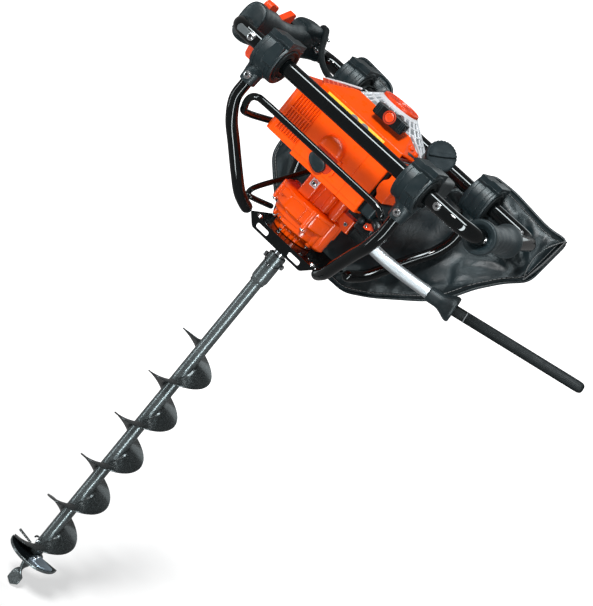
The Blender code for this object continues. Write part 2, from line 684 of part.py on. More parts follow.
def build_frame():
    for side, label in ((-1, "front"), (1, "rear")):
        bar = swept(bar_path(side), BAR_R, BAR_R - BAR_WALL, 12)
        finish(bar, f"{label}_bar", "gloss_black")
        for flip_x, end in ((-1, "left"), (1, "right")):
            collar(f"{label}_{end}_collar", flip_x, side)
            ring = [(BAR_R + GAP, -0.027), (0.029, -0.027), (0.029, 0.027), (BAR_R + GAP, 0.027)]
            place = (COLLAR_X * flip_x, BAR_Y * side, 0)
            finish(turned(ring, 16, place, ring=True, axis=(1, 0, 0)), f"{label}_{end}_rubber", "rubber")
            path = leg_path(flip_x, -side)
            finish(swept(path, LEG_R, LEG_R - LEG_WALL, 8), f"{label}_{end}_leg", "gloss_black")


def build_guards():
    front = [(0.1375, -0.1745, -0.0640), (0.126, -0.1760, -0.0585), (0.095, -0.1765, -0.0575),
             (0.0, -0.1765, -0.0575),
             (-0.100, -0.1765, -0.0575), (-0.122, -0.1740, -0.0600), (-0.1335, -0.1660, -0.0700),
             (-0.1365, -0.1540, -0.0860), (-0.1365, -0.1300, -0.0960), (-0.1360, 0.0, -0.0985),
             (-0.1365, 0.1300, -0.0985), (-0.1390, 0.1440, -0.0985)]
    finish(swept(smooth_path(front, 2), ROD_R, sides=8), "front_guard_rod", "gloss_black")
    lower = [(-0.068, 0.064, -0.132), (-0.084, 0.030, -0.1655), (-0.0965, 0.002, -0.1920),
             (-0.0975, -0.017, -0.2035),
             (-0.0900, -0.030, -0.2080), (-0.0810, -0.022, -0.2080), (-0.0680, 0.020, -0.2085)]
    finish(swept(smooth_path(lower, 3), 0.0045, sides=8), "lower_guard_rod", "gloss_black")


def build_base_plate():
    half = PLATE_HALF_X
    top = [(PLATE_X - half, -PLATE_FRONT), (PLATE_X + half, -PLATE_FRONT), (PLATE_X + half, PLATE_FRONT),
           (PLATE_X - half, PLATE_FRONT)]
    plate = finish(prism(top, PLATE_TOP - PLATE_THICK, PLATE_TOP), "base_plate", "gloss_black")
    drop = PLATE_TOP - 0.018
    lip = [(PLATE_X - half, PLATE_TOP - 0.0005), (PLATE_X - half, PLATE_TOP - 0.002),
           (PLATE_X - half + 0.016, drop),
           (PLATE_X + half - 0.016, drop), (PLATE_X + half, PLATE_TOP - 0.002),
           (PLATE_X + half, PLATE_TOP - 0.0005)]
    for side, label in ((-1, "front"), (1, "rear")):
        low, high = sorted((PLATE_FRONT * side, (PLATE_FRONT - PLATE_THICK) * side))
        join(plate, prism(lip, low, high, "xz"), f"{label}_lip")
    cut(plate, cylinder(0.0130, -0.25, -0.20, 18), "shaft_hole")
    for middle, label in ((-0.0255, "left"), (0.0425, "right")):
        slot = new_box((middle - 0.0125, -0.08, PLATE_TOP - 0.0135),
                       (middle + 0.0125, -0.055, PLATE_TOP - 0.0055))
        cut(plate, slot, f"{label}_slot")


# ---------------------------------------------------------------- handles and controls

def oval_hull(sections, sides=14):
    """Loft of oval rings along Y; each section is (y, x centre, half width, bottom, top)."""
    bm = bmesh.new()
    rows = []
    for y, x, half, low, high in sections:
        middle = (low + high) / 2
        tall = (high - low) / 2
        row = []
        for step in range(sides):
            angle = 2 * math.pi * step / sides
            squash = 0.75
            c = math.copysign(abs(math.cos(angle)) ** squash, math.cos(angle))
            s = math.copysign(abs(math.sin(angle)) ** squash, math.sin(angle))
            row.append(bm.verts.new((x + half * c, y, middle + tall * s)))
        rows.append(row)
    for near, far in zip(rows, rows[1:]):
        for k in range(sides):
            after = (k + 1) % sides
            bm.faces.new([near[k], near[after], far[after], far[k]])
    bm.faces.new(rows[0])
    bm.faces.new(rows[-1])
    return bm


def build_control_handle():
    x = CONTROL_X
    sections = [(-0.1305, x + 0.002, 0.017, -0.026, 0.028), (-0.126, x, 0.0215, -0.034, 0.037),
                (-0.100, x, 0.0235, -0.036, 0.040), (-0.072, x, 0.0215, -0.033, 0.036),
                (-0.045, x, 0.019, -0.028, 0.030),
                (-0.010, x, 0.019, -0.026, 0.029), (0.025, x, 0.0205, -0.025, 0.034),
                (0.060, x, 0.0205, -0.023, 0.037),
                (0.090, x + 0.002, 0.018, -0.020, 0.031), (0.118, x + 0.009, 0.0145, -0.0145, 0.0165),
                (0.1305, x + 0.0125, 0.0135, -0.0135, 0.0135)]
    body = finish(oval_hull(sections), "control_handle", "charcoal_plastic")
    wide = 0.0063
    cut(body, new_box((x - wide, -0.070, -0.05), (x + wide, -0.011, 0.002)), "trigger_slot")
    cut(body, new_box((x - wide, -0.056, 0.010), (x + wide, 0.001, 0.05)), "lock_slot")
    cut(body, new_box((x - wide - 0.001, -0.114, 0.030), (x + wide + 0.001, -0.070, 0.06)), "slider_slot")
    thin = 0.0055
    trigger = [(-0.018, -0.013), (-0.022, -0.010), (-0.062, -0.014), (-0.064, -0.024), (-0.056, -0.044),
               (-0.046, -0.050), (-0.030, -0.046), (-0.022, -0.030), (-0.016, -0.018)]
    finish(prism(trigger, x - thin, x + thin, "yz"), "throttle_trigger", "orange_plastic",
           (x, -0.019, -0.014))
    lock = [(-0.052, 0.016), (-0.049, 0.013), (-0.010, 0.020), (-0.008, 0.043), (-0.016, 0.045),
            (-0.048, 0.026)]
    finish(prism(lock, x - thin, x + thin, "yz"), "trigger_lock", "orange_plastic", (x, -0.049, 0.017))
    slider = [(-0.112, 0.0304), (-0.082, 0.0304), (-0.083, 0.0440), (-0.088, 0.0465), (-0.104, 0.0485),
              (-0.110, 0.0440)]
    finish(prism(slider, x - thin - 0.001, x + thin + 0.001, "yz"), "stop_slider", "orange_plastic",
           (x, -0.097, 0.0304))


def build_side_grip():
    x = SIDE_GRIP_X
    length = [(0.0128, 0.0), (0.0255, 0.0), (0.0262, 0.004), (0.0250, 0.012), (0.0205, 0.018),
              (0.0195, 0.060),
              (0.0205, 0.125), (0.0245, 0.136), (0.0255, 0.143), (0.0235, 0.147), (0.0128, 0.147)]
    finish(turned(length, 16, (x, -0.1300, 0), ring=True, axis=(0, 1, 0)), "right_grip", "rubber")


def build_throttle_cable():
    route = [(-0.2160, 0.1060, 0.0390), (-0.2090, 0.0990, 0.0430), (-0.1960, 0.0830, 0.0330),
             (-0.1780, 0.0600, 0.0180),
             (-0.1580, 0.0400, 0.0090), (-0.1380, 0.0230, 0.0050), (-0.1215, 0.0120, 0.0040)]
    finish(swept(smooth_path(route, 3), 0.0050, sides=8), "throttle_cable", "rubber")


def build_brace_arm():
    tube = swept(smooth_path(ARM_POINTS, 2), ARM_R, ARM_R - 0.002, 12)
    finish(tube, "brace_tube", "aluminium")
    way = (GRIP_END - GRIP_START).normalized()
    start = Vector(ARM_POINTS[-1]) + Vector((GAP, 0, 0))
    reach = (GRIP_START - start).length
    toward = (GRIP_START - start).normalized()
    cone = [(0, 0.0003), (0.0118, 0.0003), (0.0125, reach * 0.45), (0.0205, reach * 0.80),
            (0.0215, reach * 0.92),
            (0.0190, reach), (0, reach)]
    length = (GRIP_END - GRIP_START).length
    bar = [(0, 0.001), (0.0090, 0.001), (0.0090, length - 0.008), (0.0075, length - 0.002), (0, length)]
    grip = finish(turned(bar, 16, GRIP_START - 0.003 * way, axis=way), "brace_grip", "rubber")
    join(grip, turned(cone, 20, start, axis=toward), "grip_cone")


# ---------------------------------------------------------------- hip cushion

def cushion_front(x, z):
    """Front surface: upright behind the bars, leaning forward below them, bowed round the hips."""
    lean = min(max((-0.060 - z) / 0.19, 0.0), 1.0) * 0.066
    return 0.2010 - lean + 0.35 * (x - CUSHION_MIDDLE[0]) ** 2


def build_cushion():
    bm = bmesh.new()
    front = []
    back = []
    for x, z in CUSHION_OUTLINE:
        y = cushion_front(x, z)
        thick = CUSHION_THIN + CUSHION_EXTRA * min(max((x - 0.12) / 0.16, 0.0), 1.0)
        front.append(bm.verts.new((x, y, z)))
        back.append(bm.verts.new((x, y + thick, z)))
    for rim, flip in ((front, False), (back, True)):
        x, z = CUSHION_MIDDLE
        y = cushion_front(x, z) + (CUSHION_THIN if flip else 0.0)
        centre = bm.verts.new((x, y, z))
        for k in range(len(rim)):
            bm.faces.new([rim[k], rim[(k + 1) % len(rim)], centre])
    for k in range(len(front)):
        after = (k + 1) % len(front)
        bm.faces.new([front[k], front[after], back[after], back[k]])
    finish(bm, "hip_cushion", "leatherette")


def main():
    clear_scene()
    build_auger()
    build_gears()
    build_gearbox()
    build_crank()
    build_engine_block()
    build_shroud()
    build_starter()
    build_fuel()
    build_carburettor()
    build_frame()
    build_guards()
    build_base_plate()
    build_control_handle()
    build_side_grip()
    build_throttle_cable()
    build_brace_arm()
    build_cushion()


main()
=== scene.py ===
"""Looks of a one-person petrol auger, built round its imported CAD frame.

Units are metres in the frame of the CAD: +Z up the auger's axis, X along the handle bars, -Y front.
"""

import math

import bmesh
import bpy
from mathutils import Matrix, Vector, noise
from mathutils.bvhtree import BVHTree
from mathutils.geometry import delaunay_2d_cdt


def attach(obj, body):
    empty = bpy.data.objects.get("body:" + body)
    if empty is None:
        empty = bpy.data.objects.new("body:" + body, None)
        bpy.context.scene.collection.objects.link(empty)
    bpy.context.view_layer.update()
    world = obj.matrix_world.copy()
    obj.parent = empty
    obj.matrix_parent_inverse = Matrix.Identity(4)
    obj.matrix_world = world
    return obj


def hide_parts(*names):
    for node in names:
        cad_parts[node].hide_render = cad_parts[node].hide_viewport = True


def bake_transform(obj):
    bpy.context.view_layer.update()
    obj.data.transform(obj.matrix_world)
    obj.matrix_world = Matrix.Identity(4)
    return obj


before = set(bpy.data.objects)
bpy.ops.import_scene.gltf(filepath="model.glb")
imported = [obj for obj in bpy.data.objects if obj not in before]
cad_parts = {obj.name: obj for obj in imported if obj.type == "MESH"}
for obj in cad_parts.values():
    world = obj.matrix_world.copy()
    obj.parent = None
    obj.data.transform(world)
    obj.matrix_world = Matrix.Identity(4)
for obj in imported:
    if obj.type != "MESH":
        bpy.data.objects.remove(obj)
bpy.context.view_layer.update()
SCENE = bpy.context.scene
MATERIALS = {}
UP = Vector((0, 0, 1))
FRONT = (0, -1, 0)
RIGHT = (1, 0, 0)
LEFT = (-1, 0, 0)
BACK = (0, 1, 0)
DOWN = (0, 0, -1)
TAU = 2 * math.pi


# ---------------------------------------------------------------- materials

class Surface:
    """A Principled material with helpers that add texture nodes in object metres."""

    def __init__(self, name, slot, colour, roughness, metallic=0.0, coat=0.0, specular=0.5):
        material = bpy.data.materials.new(name)
        material.use_nodes = True
        self.tree = material.node_tree
        self.shader = self.tree.nodes["Principled BSDF"]
        self.colour = colour
        self.roughness = roughness
        self.set("Base Color", (*colour, 1.0))
        self.set("Roughness", roughness)
        self.set("Metallic", metallic)
        self.set("Coat Weight", coat)
        self.set("Coat Roughness", 0.08)
        self.set("Specular IOR Level", specular)
        self.coords = self.node("ShaderNodeTexCoord").outputs["Object"]
        self.height = None
        MATERIALS[name] = material

    def set(self, socket, value):
        self.shader.inputs[socket].default_value = value

    def node(self, kind, **settings):
        made = self.tree.nodes.new(kind)
        for key, value in settings.items():
            setattr(made, key, value)
        return made

    def link(self, source, target):
        self.tree.links.new(source, target)

    def mapped(self, scale):
        mapping = self.node("ShaderNodeMapping")
        mapping.inputs["Scale"].default_value = scale
        self.link(self.coords, mapping.inputs["Vector"])
        return mapping.outputs["Vector"]

    def noise(self, scale, detail=3.0, stretch=(1, 1, 1), distortion=0.0):
        made = self.node("ShaderNodeTexNoise")
        made.inputs["Scale"].default_value = scale
        made.inputs["Detail"].default_value = detail
        made.inputs["Distortion"].default_value = distortion
        self.link(self.mapped(stretch), made.inputs["Vector"])
        return made.outputs["Fac"]

    def cells(self, scale, feature):
        made = self.node("ShaderNodeTexVoronoi", feature=feature)
        made.inputs["Scale"].default_value = scale
        self.link(self.mapped((1, 1, 1)), made.inputs["Vector"])
        return made.outputs["Distance"]

    def ramp(self, value, low, high, out_low=0.0, out_high=1.0):
        made = self.node("ShaderNodeMapRange")
        for socket, number in (("From Min", low), ("From Max", high), ("To Min", out_low), ("To Max", out_high)):
            made.inputs[socket].default_value = number
        self.link(value, made.inputs["Value"])
        return made.outputs["Result"]

    def tint(self, factor, other):
        """Blend the base colour towards another colour where factor is 1."""
        mix = self.node("ShaderNodeMix", data_type="RGBA")
        self.link(factor, mix.inputs["Factor"])
        current = self.shader.inputs["Base Color"]
        if current.is_linked:
            self.link(current.links[0].from_socket, mix.inputs["A"])
        else:
            mix.inputs["A"].default_value = (*self.colour, 1.0)
        mix.inputs["B"].default_value = (*other, 1.0)
        self.link(mix.outputs["Result"], current)

    def vary_roughness(self, value, amount):
        wear = self.ramp(value, 0.3, 0.7, max(self.roughness - amount, 0.02), self.roughness + amount)
        self.link(wear, self.shader.inputs["Roughness"])

    def bump(self, value, depth, strength=1.0):
        made = self.node("ShaderNodeBump")
        made.inputs["Strength"].default_value = strength
        made.inputs["Distance"].default_value = depth
        self.link(value, made.inputs["Height"])
        if self.height is not None:
            self.link(self.height, made.inputs["Normal"])
        self.height = made.outputs["Normal"]
        self.link(self.height, self.shader.inputs["Normal"])


def shade(colour, factor):
    return tuple(min(c * factor, 1.0) for c in colour)


def moulded(name, slot, colour, roughness, grain=2200, depth=0.00006, coat=0.0, dust=0.12, specular=0.5):
    """Moulded plastic or rubber: fine spark-eroded grain, faint blotches and rubbed patches."""
    s = Surface(name, slot, colour, roughness, coat=coat, specular=specular)
    s.tint(s.ramp(s.noise(38), 0.35, 0.75, 0.0, 0.6), shade(colour, 0.82))
    s.tint(s.ramp(s.noise(420, 4), 0.62, 0.78, 0.0, dust), shade(tuple(c + 0.03 for c in colour), 1.25))
    s.vary_roughness(s.noise(75, 5), 0.09)
    s.bump(s.noise(grain, 2), depth)
    s.bump(s.noise(60, 2), 0.0002, 0.25)


def painted(name, slot, colour, roughness, coat, peel=520, specular=0.5, ripple=0.5):
    """Gloss paint with orange peel and hair scratches."""
    s = Surface(name, slot, colour, roughness, coat=coat, specular=specular)
    s.tint(s.ramp(s.noise(24), 0.4, 0.8, 0.0, 0.5), shade(colour, 0.85))
    scratches = s.ramp(s.noise(900, 2, (1, 1, 0.04)), 0.66, 0.74)
    s.tint(s.ramp(scratches, 0, 1, 0, 0.1), shade(tuple(c + 0.05 for c in colour), 1.4))
    s.vary_roughness(s.noise(110, 5), 0.05)
    s.bump(s.noise(peel, 1.5), 0.00005, ripple)


def metal(name, slot, colour, roughness, stretch=(1, 1, 1), depth=0.00003, wear=0.1):
    """Drawn or machined metal with directional marks and slight tarnish."""
    s = Surface(name, slot, colour, roughness, metallic=1.0)
    s.tint(s.ramp(s.noise(60, 4), 0.4, 0.75, 0.0, 0.55), shade(colour, 0.72))
    s.vary_roughness(s.noise(800, 4, stretch), wear)
    s.bump(s.noise(1500, 3, stretch), depth, 0.7)


def hammertone(name, tone, roughness):
    """Grey hammer paint: pale dimples in a darker metallic ground."""
    ground = shade((0.05, 0.06, 0.062), tone)
    s = Surface(name, "hammered_grey", ground, roughness, metallic=0.55, coat=0.2)
    dimple = s.cells(620, "SMOOTH_F1")
    s.tint(s.ramp(dimple, 0.2, 0.62, 0.0, 0.85), shade((0.15, 0.175, 0.18), tone))
    s.tint(s.ramp(s.noise(30), 0.45, 0.8, 0.0, 0.5), shade((0.035, 0.043, 0.045), tone))
    s.tint(s.ramp(s.noise(2600, 1), 0.72, 0.8), shade((0.45, 0.47, 0.47), tone))
    s.vary_roughness(s.noise(300, 4), 0.07)
    s.bump(dimple, 0.00018, 0.5)
    s.bump(s.noise(180, 3), 0.0002, 0.35)


def leatherette():
    """Coated fabric: pebble grain, soft creases and a plasticised gloss."""
    s = Surface("leatherette", "leatherette", (0.003, 0.0078, 0.01), 0.38, coat=0.0, specular=0.2)
    s.set("Sheen Weight", 0.06)
    s.set("Sheen Roughness", 0.4)
    s.tint(s.ramp(s.noise(16, 4), 0.4, 0.75, 0.0, 0.7), (0.008, 0.019, 0.023))
    s.vary_roughness(s.noise(45, 5), 0.1)
    s.bump(s.cells(950, "DISTANCE_TO_EDGE"), 0.00018, 0.6)
    s.bump(s.noise(70, 4, (1, 1, 0.5), 1.5), 0.0011, 0.45)


def decal():
    """Yellow decal strip with plain grey ovals and no marks."""
    s = Surface("decal_yellow", "orange_plastic", (0.85, 0.56, 0.03), 0.35, coat=0.3)
    s.tint(s.ramp(s.noise(200, 3), 0.5, 0.8, 0.0, 0.35), (0.95, 0.78, 0.2))
    s.bump(s.noise(900, 2), 0.00004, 0.4)


ORANGE = (0.93, 0.082, 0.0003)
CHARCOAL = (0.0068, 0.0155, 0.019)


def make_materials():
    moulded("orange_shell", "orange_plastic", ORANGE, 0.32, 1400, 0.00004, coat=0.0, dust=0.02, specular=0.16)
    # orange_painted_shade: a darker copy of the shell orange, painted shade in recesses, openings and grooves
    moulded("orange_painted_shade", "orange_plastic", (0.5, 0.028, 0.001), 0.5, 1400, 0.00005, dust=0.03, specular=0.25)
    moulded("orange_key", "orange_plastic", (0.88, 0.06, 0.002), 0.36, 1800, 0.00004, dust=0.03, specular=0.3)
    painted("orange_cast", "orange_casting", (0.84, 0.08, 0.0003), 0.16, 0.1, 240, 0.4, 0.3)
    painted("gloss_black", "gloss_black", (0.002, 0.0028, 0.0031), 0.07, 0.0, 90, 0.36, 0.05)
    moulded("charcoal", "charcoal_plastic", CHARCOAL, 0.4, 2600, 0.00006, specular=0.3)
    moulded("charcoal_gloss", "charcoal_plastic", (0.0045, 0.0065, 0.0075), 0.28, 2200, 0.00004, specular=0.3)
    moulded("black_rubber", "rubber", (0.0055, 0.0085, 0.0095), 0.55, 1700, 0.0001, specular=0.12)
    moulded("grip_rubber", "rubber", (0.008, 0.0175, 0.0215), 0.48, 1900, 0.0001, specular=0.3)
    moulded("cover_white", "white_plastic", (0.66, 0.69, 0.72), 0.35, 1800, 0.00004, dust=0.05)
    moulded("window_grey", "white_plastic", (0.2, 0.22, 0.235), 0.5, 1500, 0.00006)
    # slot_shade_dark: near-black plastic for slots, painted shade where there are openings
    moulded("slot_shade_dark", "charcoal_plastic", (0.012, 0.012, 0.013), 0.6, 1500, 0.00006)
    moulded("tank_milk", "charcoal_plastic", (0.022, 0.026, 0.028), 0.4, 1200, 0.00005)
    metal("bright_screw", "steel", (0.72, 0.73, 0.74), 0.2)
    # socket_shade: dark metal that paints the shade inside screw sockets and the exhaust outlet
    metal("socket_shade", "steel", (0.06, 0.06, 0.065), 0.5)
    metal("tube_aluminium", "aluminium", (0.6, 0.62, 0.64), 0.42, (0.05, 1, 1), 0.00001, 0.03)
    metal("engine_alloy", "aluminium", (0.42, 0.43, 0.44), 0.5)
    metal("brass_fitting", "steel", (0.72, 0.42, 0.13), 0.28)
    metal("blade_steel", "steel", (0.32, 0.38, 0.44), 0.38, (1, 0.05, 1))
    metal("shaft_steel", "steel", (0.34, 0.35, 0.36), 0.2, (1, 1, 0.06))
    moulded("cap_slate", "charcoal_plastic", (0.012, 0.02, 0.024), 0.6, 2200, 0.00005, specular=0.08)
    hammertone("hammertone", 1.0, 0.3)
    # hammertone_shaded: the hammer paint at a third of its brightness, a shaded copy for the flight strip, painted
    # shade
    hammertone("hammertone_shaded", 0.32, 0.26)
    # bar_end_highlight_grey: pale grey that paints a highlight on the front bar's flattened end
    moulded("bar_end_highlight_grey", "charcoal_plastic", (0.075, 0.09, 0.095), 0.4, 2200, 0.00004)
    leatherette()
    decal()
    moulded("seam_dark", "leatherette", (0.0022, 0.0026, 0.0028), 0.7, 1800, 0.00004, specular=0.1)
    thread = Surface("hem_thread", "leatherette", (0.16, 0.17, 0.17), 0.6)
    thread.tint(thread.ramp(thread.noise(1800, 2), 0.4, 0.7), (0.07, 0.075, 0.08))
    thread.bump(thread.noise(2400, 2, (1, 1, 0.2)), 0.0001, 0.6)


# ---------------------------------------------------------------- shapes

def box(low, high):
    bm = bmesh.new()
    bmesh.ops.create_cube(bm, size=1.0)
    low, high = Vector(low), Vector(high)
    bmesh.ops.scale(bm, vec=high - low, verts=bm.verts)
    bmesh.ops.translate(bm, vec=(high + low) / 2, verts=bm.verts)
    return bm


def soft_box(low, high, radius, segments=3):
    bm = box(low, high)
    bmesh.ops.bevel(bm, geom=bm.edges, offset=radius, segments=segments, affect="EDGES", profile=0.5)
    return bm


def aimed(bm, at=(0, 0, 0), axis=(0, 0, 1), spin=0.0):
    """Turn a shape made round +Z so that +Z points along axis, and move it."""
    turn = UP.rotation_difference(Vector(axis)).to_matrix().to_4x4()
    return moved(bm, Matrix.Translation(at), turn, spun(spin))


def rings_to_mesh(rings, wrap=False):
    """Skin rows of points; a row of one point is a pole."""
    bm = bmesh.new()
    rows = [[bm.verts.new(p) for p in ring] for ring in rings]
    pairs = list(zip(rows, rows[1:]))
    if wrap:
        pairs.append((rows[-1], rows[0]))
    for near, far in pairs:
        count = max(len(near), len(far))
        if count == 1:
            continue
        for k in range(count):
            after = (k + 1) % count
            corners = [near[k % len(near)], near[after % len(near)]]
            corners += [far[after % len(far)], far[k % len(far)]]
            bm.faces.new(list(dict.fromkeys(corners)))
    if not wrap:
        for row in (rows[0], rows[-1]):
            if len(row) > 2:
                bm.faces.new(row)
    return bm


def oval(wide, deep, sides, square=(1.0, 1.0)):
    """Points (x, y) of an oval, squarer where the exponents are below 1."""
    points = []
    for k in range(sides):
        c, s = math.cos(TAU * k / sides), math.sin(TAU * k / sides)
        points.append((wide * math.copysign(abs(c) ** square[0], c), deep * math.copysign(abs(s) ** square[1], s)))
    return points


def circle(radius, height, sides):
    """Ring of points at one height; a radius of 0 gives the one point of a pole."""
    return [(x, y, height) for x, y in oval(radius, radius, sides)] if radius else [(0, 0, height)]


def notched(radius_of, height, sides):
    """Ring whose radius is a function of the point's number."""
    return [(radius_of(k) * math.cos(TAU * k / sides), radius_of(k) * math.sin(TAU * k / sides), height)
            for k in range(sides)]


def polar(degrees, reach, height=0.0):
    a = math.radians(degrees)
    return Vector((reach * math.cos(a), reach * math.sin(a), height))


def spun(angle):
    return Matrix.Rotation(angle, 4, "Z")


def moved(bm, *steps):
    """Apply matrices to a shape, the last one first."""
    matrix = Matrix.Identity(4)
    for step in steps:
        matrix = matrix @ step
    bmesh.ops.transform(bm, matrix=matrix, verts=bm.verts)
    return bm


def facet_axes(a, b, c):
    """Along, up and out of a triangle, and the matrix that turns a flat shape onto it."""
    out = (b - a).cross(c - a).normalized()
    along = (b - a).normalized()
    up = out.cross(along)
    return along, up, out, Matrix((along, up, out)).transposed().to_4x4()


def lathe(profile, at=(0, 0, 0), axis=(0, 0, 1), sides=48, ring=False):
    """Turn (radius, height) points round an axis; a ring's profile closes on itself."""
    bm = rings_to_mesh([circle(r, h, sides) for r, h in profile], wrap=ring)
    return aimed(bm, at, axis)


def rod(radius, low, high, at=(0, 0, 0), axis=(0, 0, 1), sides=32, round_by=0.0):
    r = min(round_by, radius * 0.9)
    profile = [(0, low), (radius - r, low), (radius, low + r), (radius, high - r), (radius - r, high), (0, high)]
    return lathe(profile, at, axis, sides)


def prism(outline, low, high, plane="xy"):
    """Extrude a 2-D outline between two heights of the third axis."""
    place = {"xy": lambda a, b, c: (a, b, c), "xz": lambda a, b, c: (a, c, b), "yz": lambda a, b, c: (c, a, b)}[plane]
    return rings_to_mesh([[place(a, b, low) for a, b in outline], [place(a, b, high) for a, b in outline]])


def slab(points, radius, low, high, plane="xy", steps=4):
    """Prism of an outline with rounded corners."""
    return prism(rounded_outline(points, radius, steps), low, high, plane)


def rounded_outline(points, radius, steps=5):
    """Round a 2-D outline's corners; radius may be one number or one per corner."""
    made = []
    count = len(points)
    for k in range(count):
        here, before, after = (Vector(points[i % count]) for i in (k, k - 1, k + 1))
        reach = radius[k] if isinstance(radius, (list, tuple)) else radius
        start = here + (before - here).normalized() * min(reach, (before - here).length * 0.48)
        end = here + (after - here).normalized() * min(reach, (after - here).length * 0.48)
        for s in range(steps + 1):
            t = s / steps
            made.append(tuple(start * (1 - t) ** 2 + here * 2 * t * (1 - t) + end * t ** 2))
    return made


def smooth_path(points, per_span=6):
    """Catmull-Rom curve through the points."""
    points = [Vector(p) for p in points]
    ends = [2 * points[0] - points[1], *points, 2 * points[-1] - points[-2]]
    path = []
    for k in range(len(points) - 1):
        a, b, c, d = ends[k:k + 4]
        for step in range(per_span):
            t = step / per_span
            path.append(0.5 * (2 * b + (c - a) * t + (2 * a - 5 * b + 4 * c - d) * t ** 2
                               + (3 * b - a - 3 * c + d) * t ** 3))
    path.append(points[-1])
    return path


def sweep(path, radius, sides=24, round_ends=True):
    """Round section along a path; radius is a number or a function of the share 0 to 1."""
    path = [Vector(p) for p in path]
    size = radius if callable(radius) else lambda share: radius
    tangents = [(path[min(k + 1, len(path) - 1)] - path[max(k - 1, 0)]).normalized() for k in range(len(path))]
    side = tangents[0].orthogonal().normalized()
    rings = []
    for k, point in enumerate(path):
        if k:
            side = tangents[k - 1].rotation_difference(tangents[k]) @ side
        other = tangents[k].cross(side)
        r = size(k / (len(path) - 1))
        rings.append([point + r * (side * math.cos(TAU * s / sides) + other * math.sin(TAU * s / sides))
                      for s in range(sides)])
    if round_ends:
        for end, way in ((0, -1), (-1, 1)):
            middle = path[end]
            r = size(0 if end == 0 else 1)
            caps = []
            for angle in (25, 50, 70, 84):
                a = math.radians(angle)
                drop = tangents[end] * way * r * math.sin(a)
                caps.append([middle + (p - middle) * math.cos(a) + drop for p in rings[end]])
            if end == 0:
                rings = caps[::-1] + rings
            else:
                rings += caps
    return rings_to_mesh(rings)


def together(*shapes):
    """Put several shapes in one mesh."""
    whole = bmesh.new()
    for shape in shapes:
        carrier = bpy.data.meshes.new("carrier")
        shape.to_mesh(carrier)
        shape.free()
        whole.from_mesh(carrier)
        bpy.data.meshes.remove(carrier)
    return whole


def build(name, bm, material, body="frame", bevel=0.0, segments=2, sharp=38, replaces=(), more=()):
    """Make a piece from a bmesh with its material, riding on a CAD body; with no body, it rides on none and the caller
    bakes its transform.
    """
    bmesh.ops.recalc_face_normals(bm, faces=bm.faces)
    mesh = bpy.data.meshes.new(name)
    bm.to_mesh(mesh)
    bm.free()
    for label in (material, *more):
        mesh.materials.append(MATERIALS[label])
    mesh.shade_smooth()
    mesh.set_sharp_from_angle(angle=math.radians(sharp))
    piece = bpy.data.objects.new(name, mesh)
    SCENE.collection.objects.link(piece)
    if bevel:
        edge = piece.modifiers.new("edges", "BEVEL")
        edge.width = bevel
        edge.segments = segments
        edge.limit_method = "ANGLE"
        edge.angle_limit = math.radians(sharp - 6)
        edge.harden_normals = True
    if body:
        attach(piece, body)
    if replaces:
        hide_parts(*replaces)
    return piece


def carve(piece, *tools, operation="DIFFERENCE"):
    """Boolean a piece with tool shapes and keep the result as its mesh."""
    for k, tool in enumerate(tools):
        bmesh.ops.recalc_face_normals(tool, faces=tool.faces)
        mesh = bpy.data.meshes.new("tool")
        tool.to_mesh(mesh)
        tool.free()
        cutter = bpy.data.objects.new(f"tool_{k}", mesh)
        SCENE.collection.objects.link(cutter)
        boolean = piece.modifiers.new("carve", "BOOLEAN")
        boolean.operation = operation
        boolean.solver = "EXACT"
        boolean.object = cutter
        piece.modifiers.move(len(piece.modifiers) - 1, 0)
        graph = bpy.context.evaluated_depsgraph_get()
        later = [m for m in piece.modifiers if m != boolean]
        for m in later:
            m.show_viewport = False
        graph.update()
        made = bpy.data.meshes.new_from_object(piece.evaluated_get(graph))
        for m in later:
            m.show_viewport = True
        piece.modifiers.remove(boolean)
        piece.data = made
        bpy.data.objects.remove(cutter)
    piece.data.shade_smooth()
    piece.data.set_sharp_from_angle(angle=math.radians(38))
    return piece


def screw(at, axis=FRONT, radius=0.0045, height=0.003, washer=True):
    """Pan head screw with a six-point socket; the socket's faces take the second material, a dark metal that paints the
    socket's shade.
    """
    sides = 24
    flange = radius * 1.35 if washer else radius
    base = 0.0008 if washer else 0.0
    profile = [(flange, -0.001), (flange, base * 0.6), (flange * 0.95, base), (radius, base),
               (radius, height * 0.6), (radius * 0.86, height * 0.9), (radius * 0.62, height)]
    rings = [circle(r, h, sides) for r, h in profile]
    socket = notched(lambda k: radius * (0.46 + 0.07 * math.cos(6 * (TAU * k / sides))), 0, sides)
    rings.append([(x, y, height * 0.98) for x, y, _ in socket])
    rings.append([(x * 0.96, y * 0.96, height * 0.25) for x, y, _ in socket])
    rings.append([(0, 0, height * 0.15)])
    bm = rings_to_mesh(rings)
    bm.faces.ensure_lookup_table()
    for face in bm.faces:
        centre = face.calc_center_median()
        if centre.z < height * 0.9 and centre.xy.length < radius * 0.52 and centre.z > 0:
            face.material_index = 1
    return aimed(bm, at, axis)


def screws(name, places, body="frame", radius=0.0045, height=0.003, washer=True):
    """Several screws in one piece; each place is (point, axis) or (point, axis, radius)."""
    made = [screw(p[0], p[1], p[2] if len(p) > 2 else radius, height, washer) for p in places]
    return build(name, together(*made), "bright_screw", body, more=["socket_shade"])


# ---------------------------------------------------------------- camera, floor and light

CAMERA_TARGET = (0.0712, 0.0, -0.2873)
CAMERA_DISTANCE = 3.0
CAMERA_LENS = 115.8
CAMERA_TURNED, CAMERA_RAISED, CAMERA_ROLL = 16.92, 13.9, 0.97  # degrees
TOOL_LEAN = 38.7  # degrees the tool leans in the picture


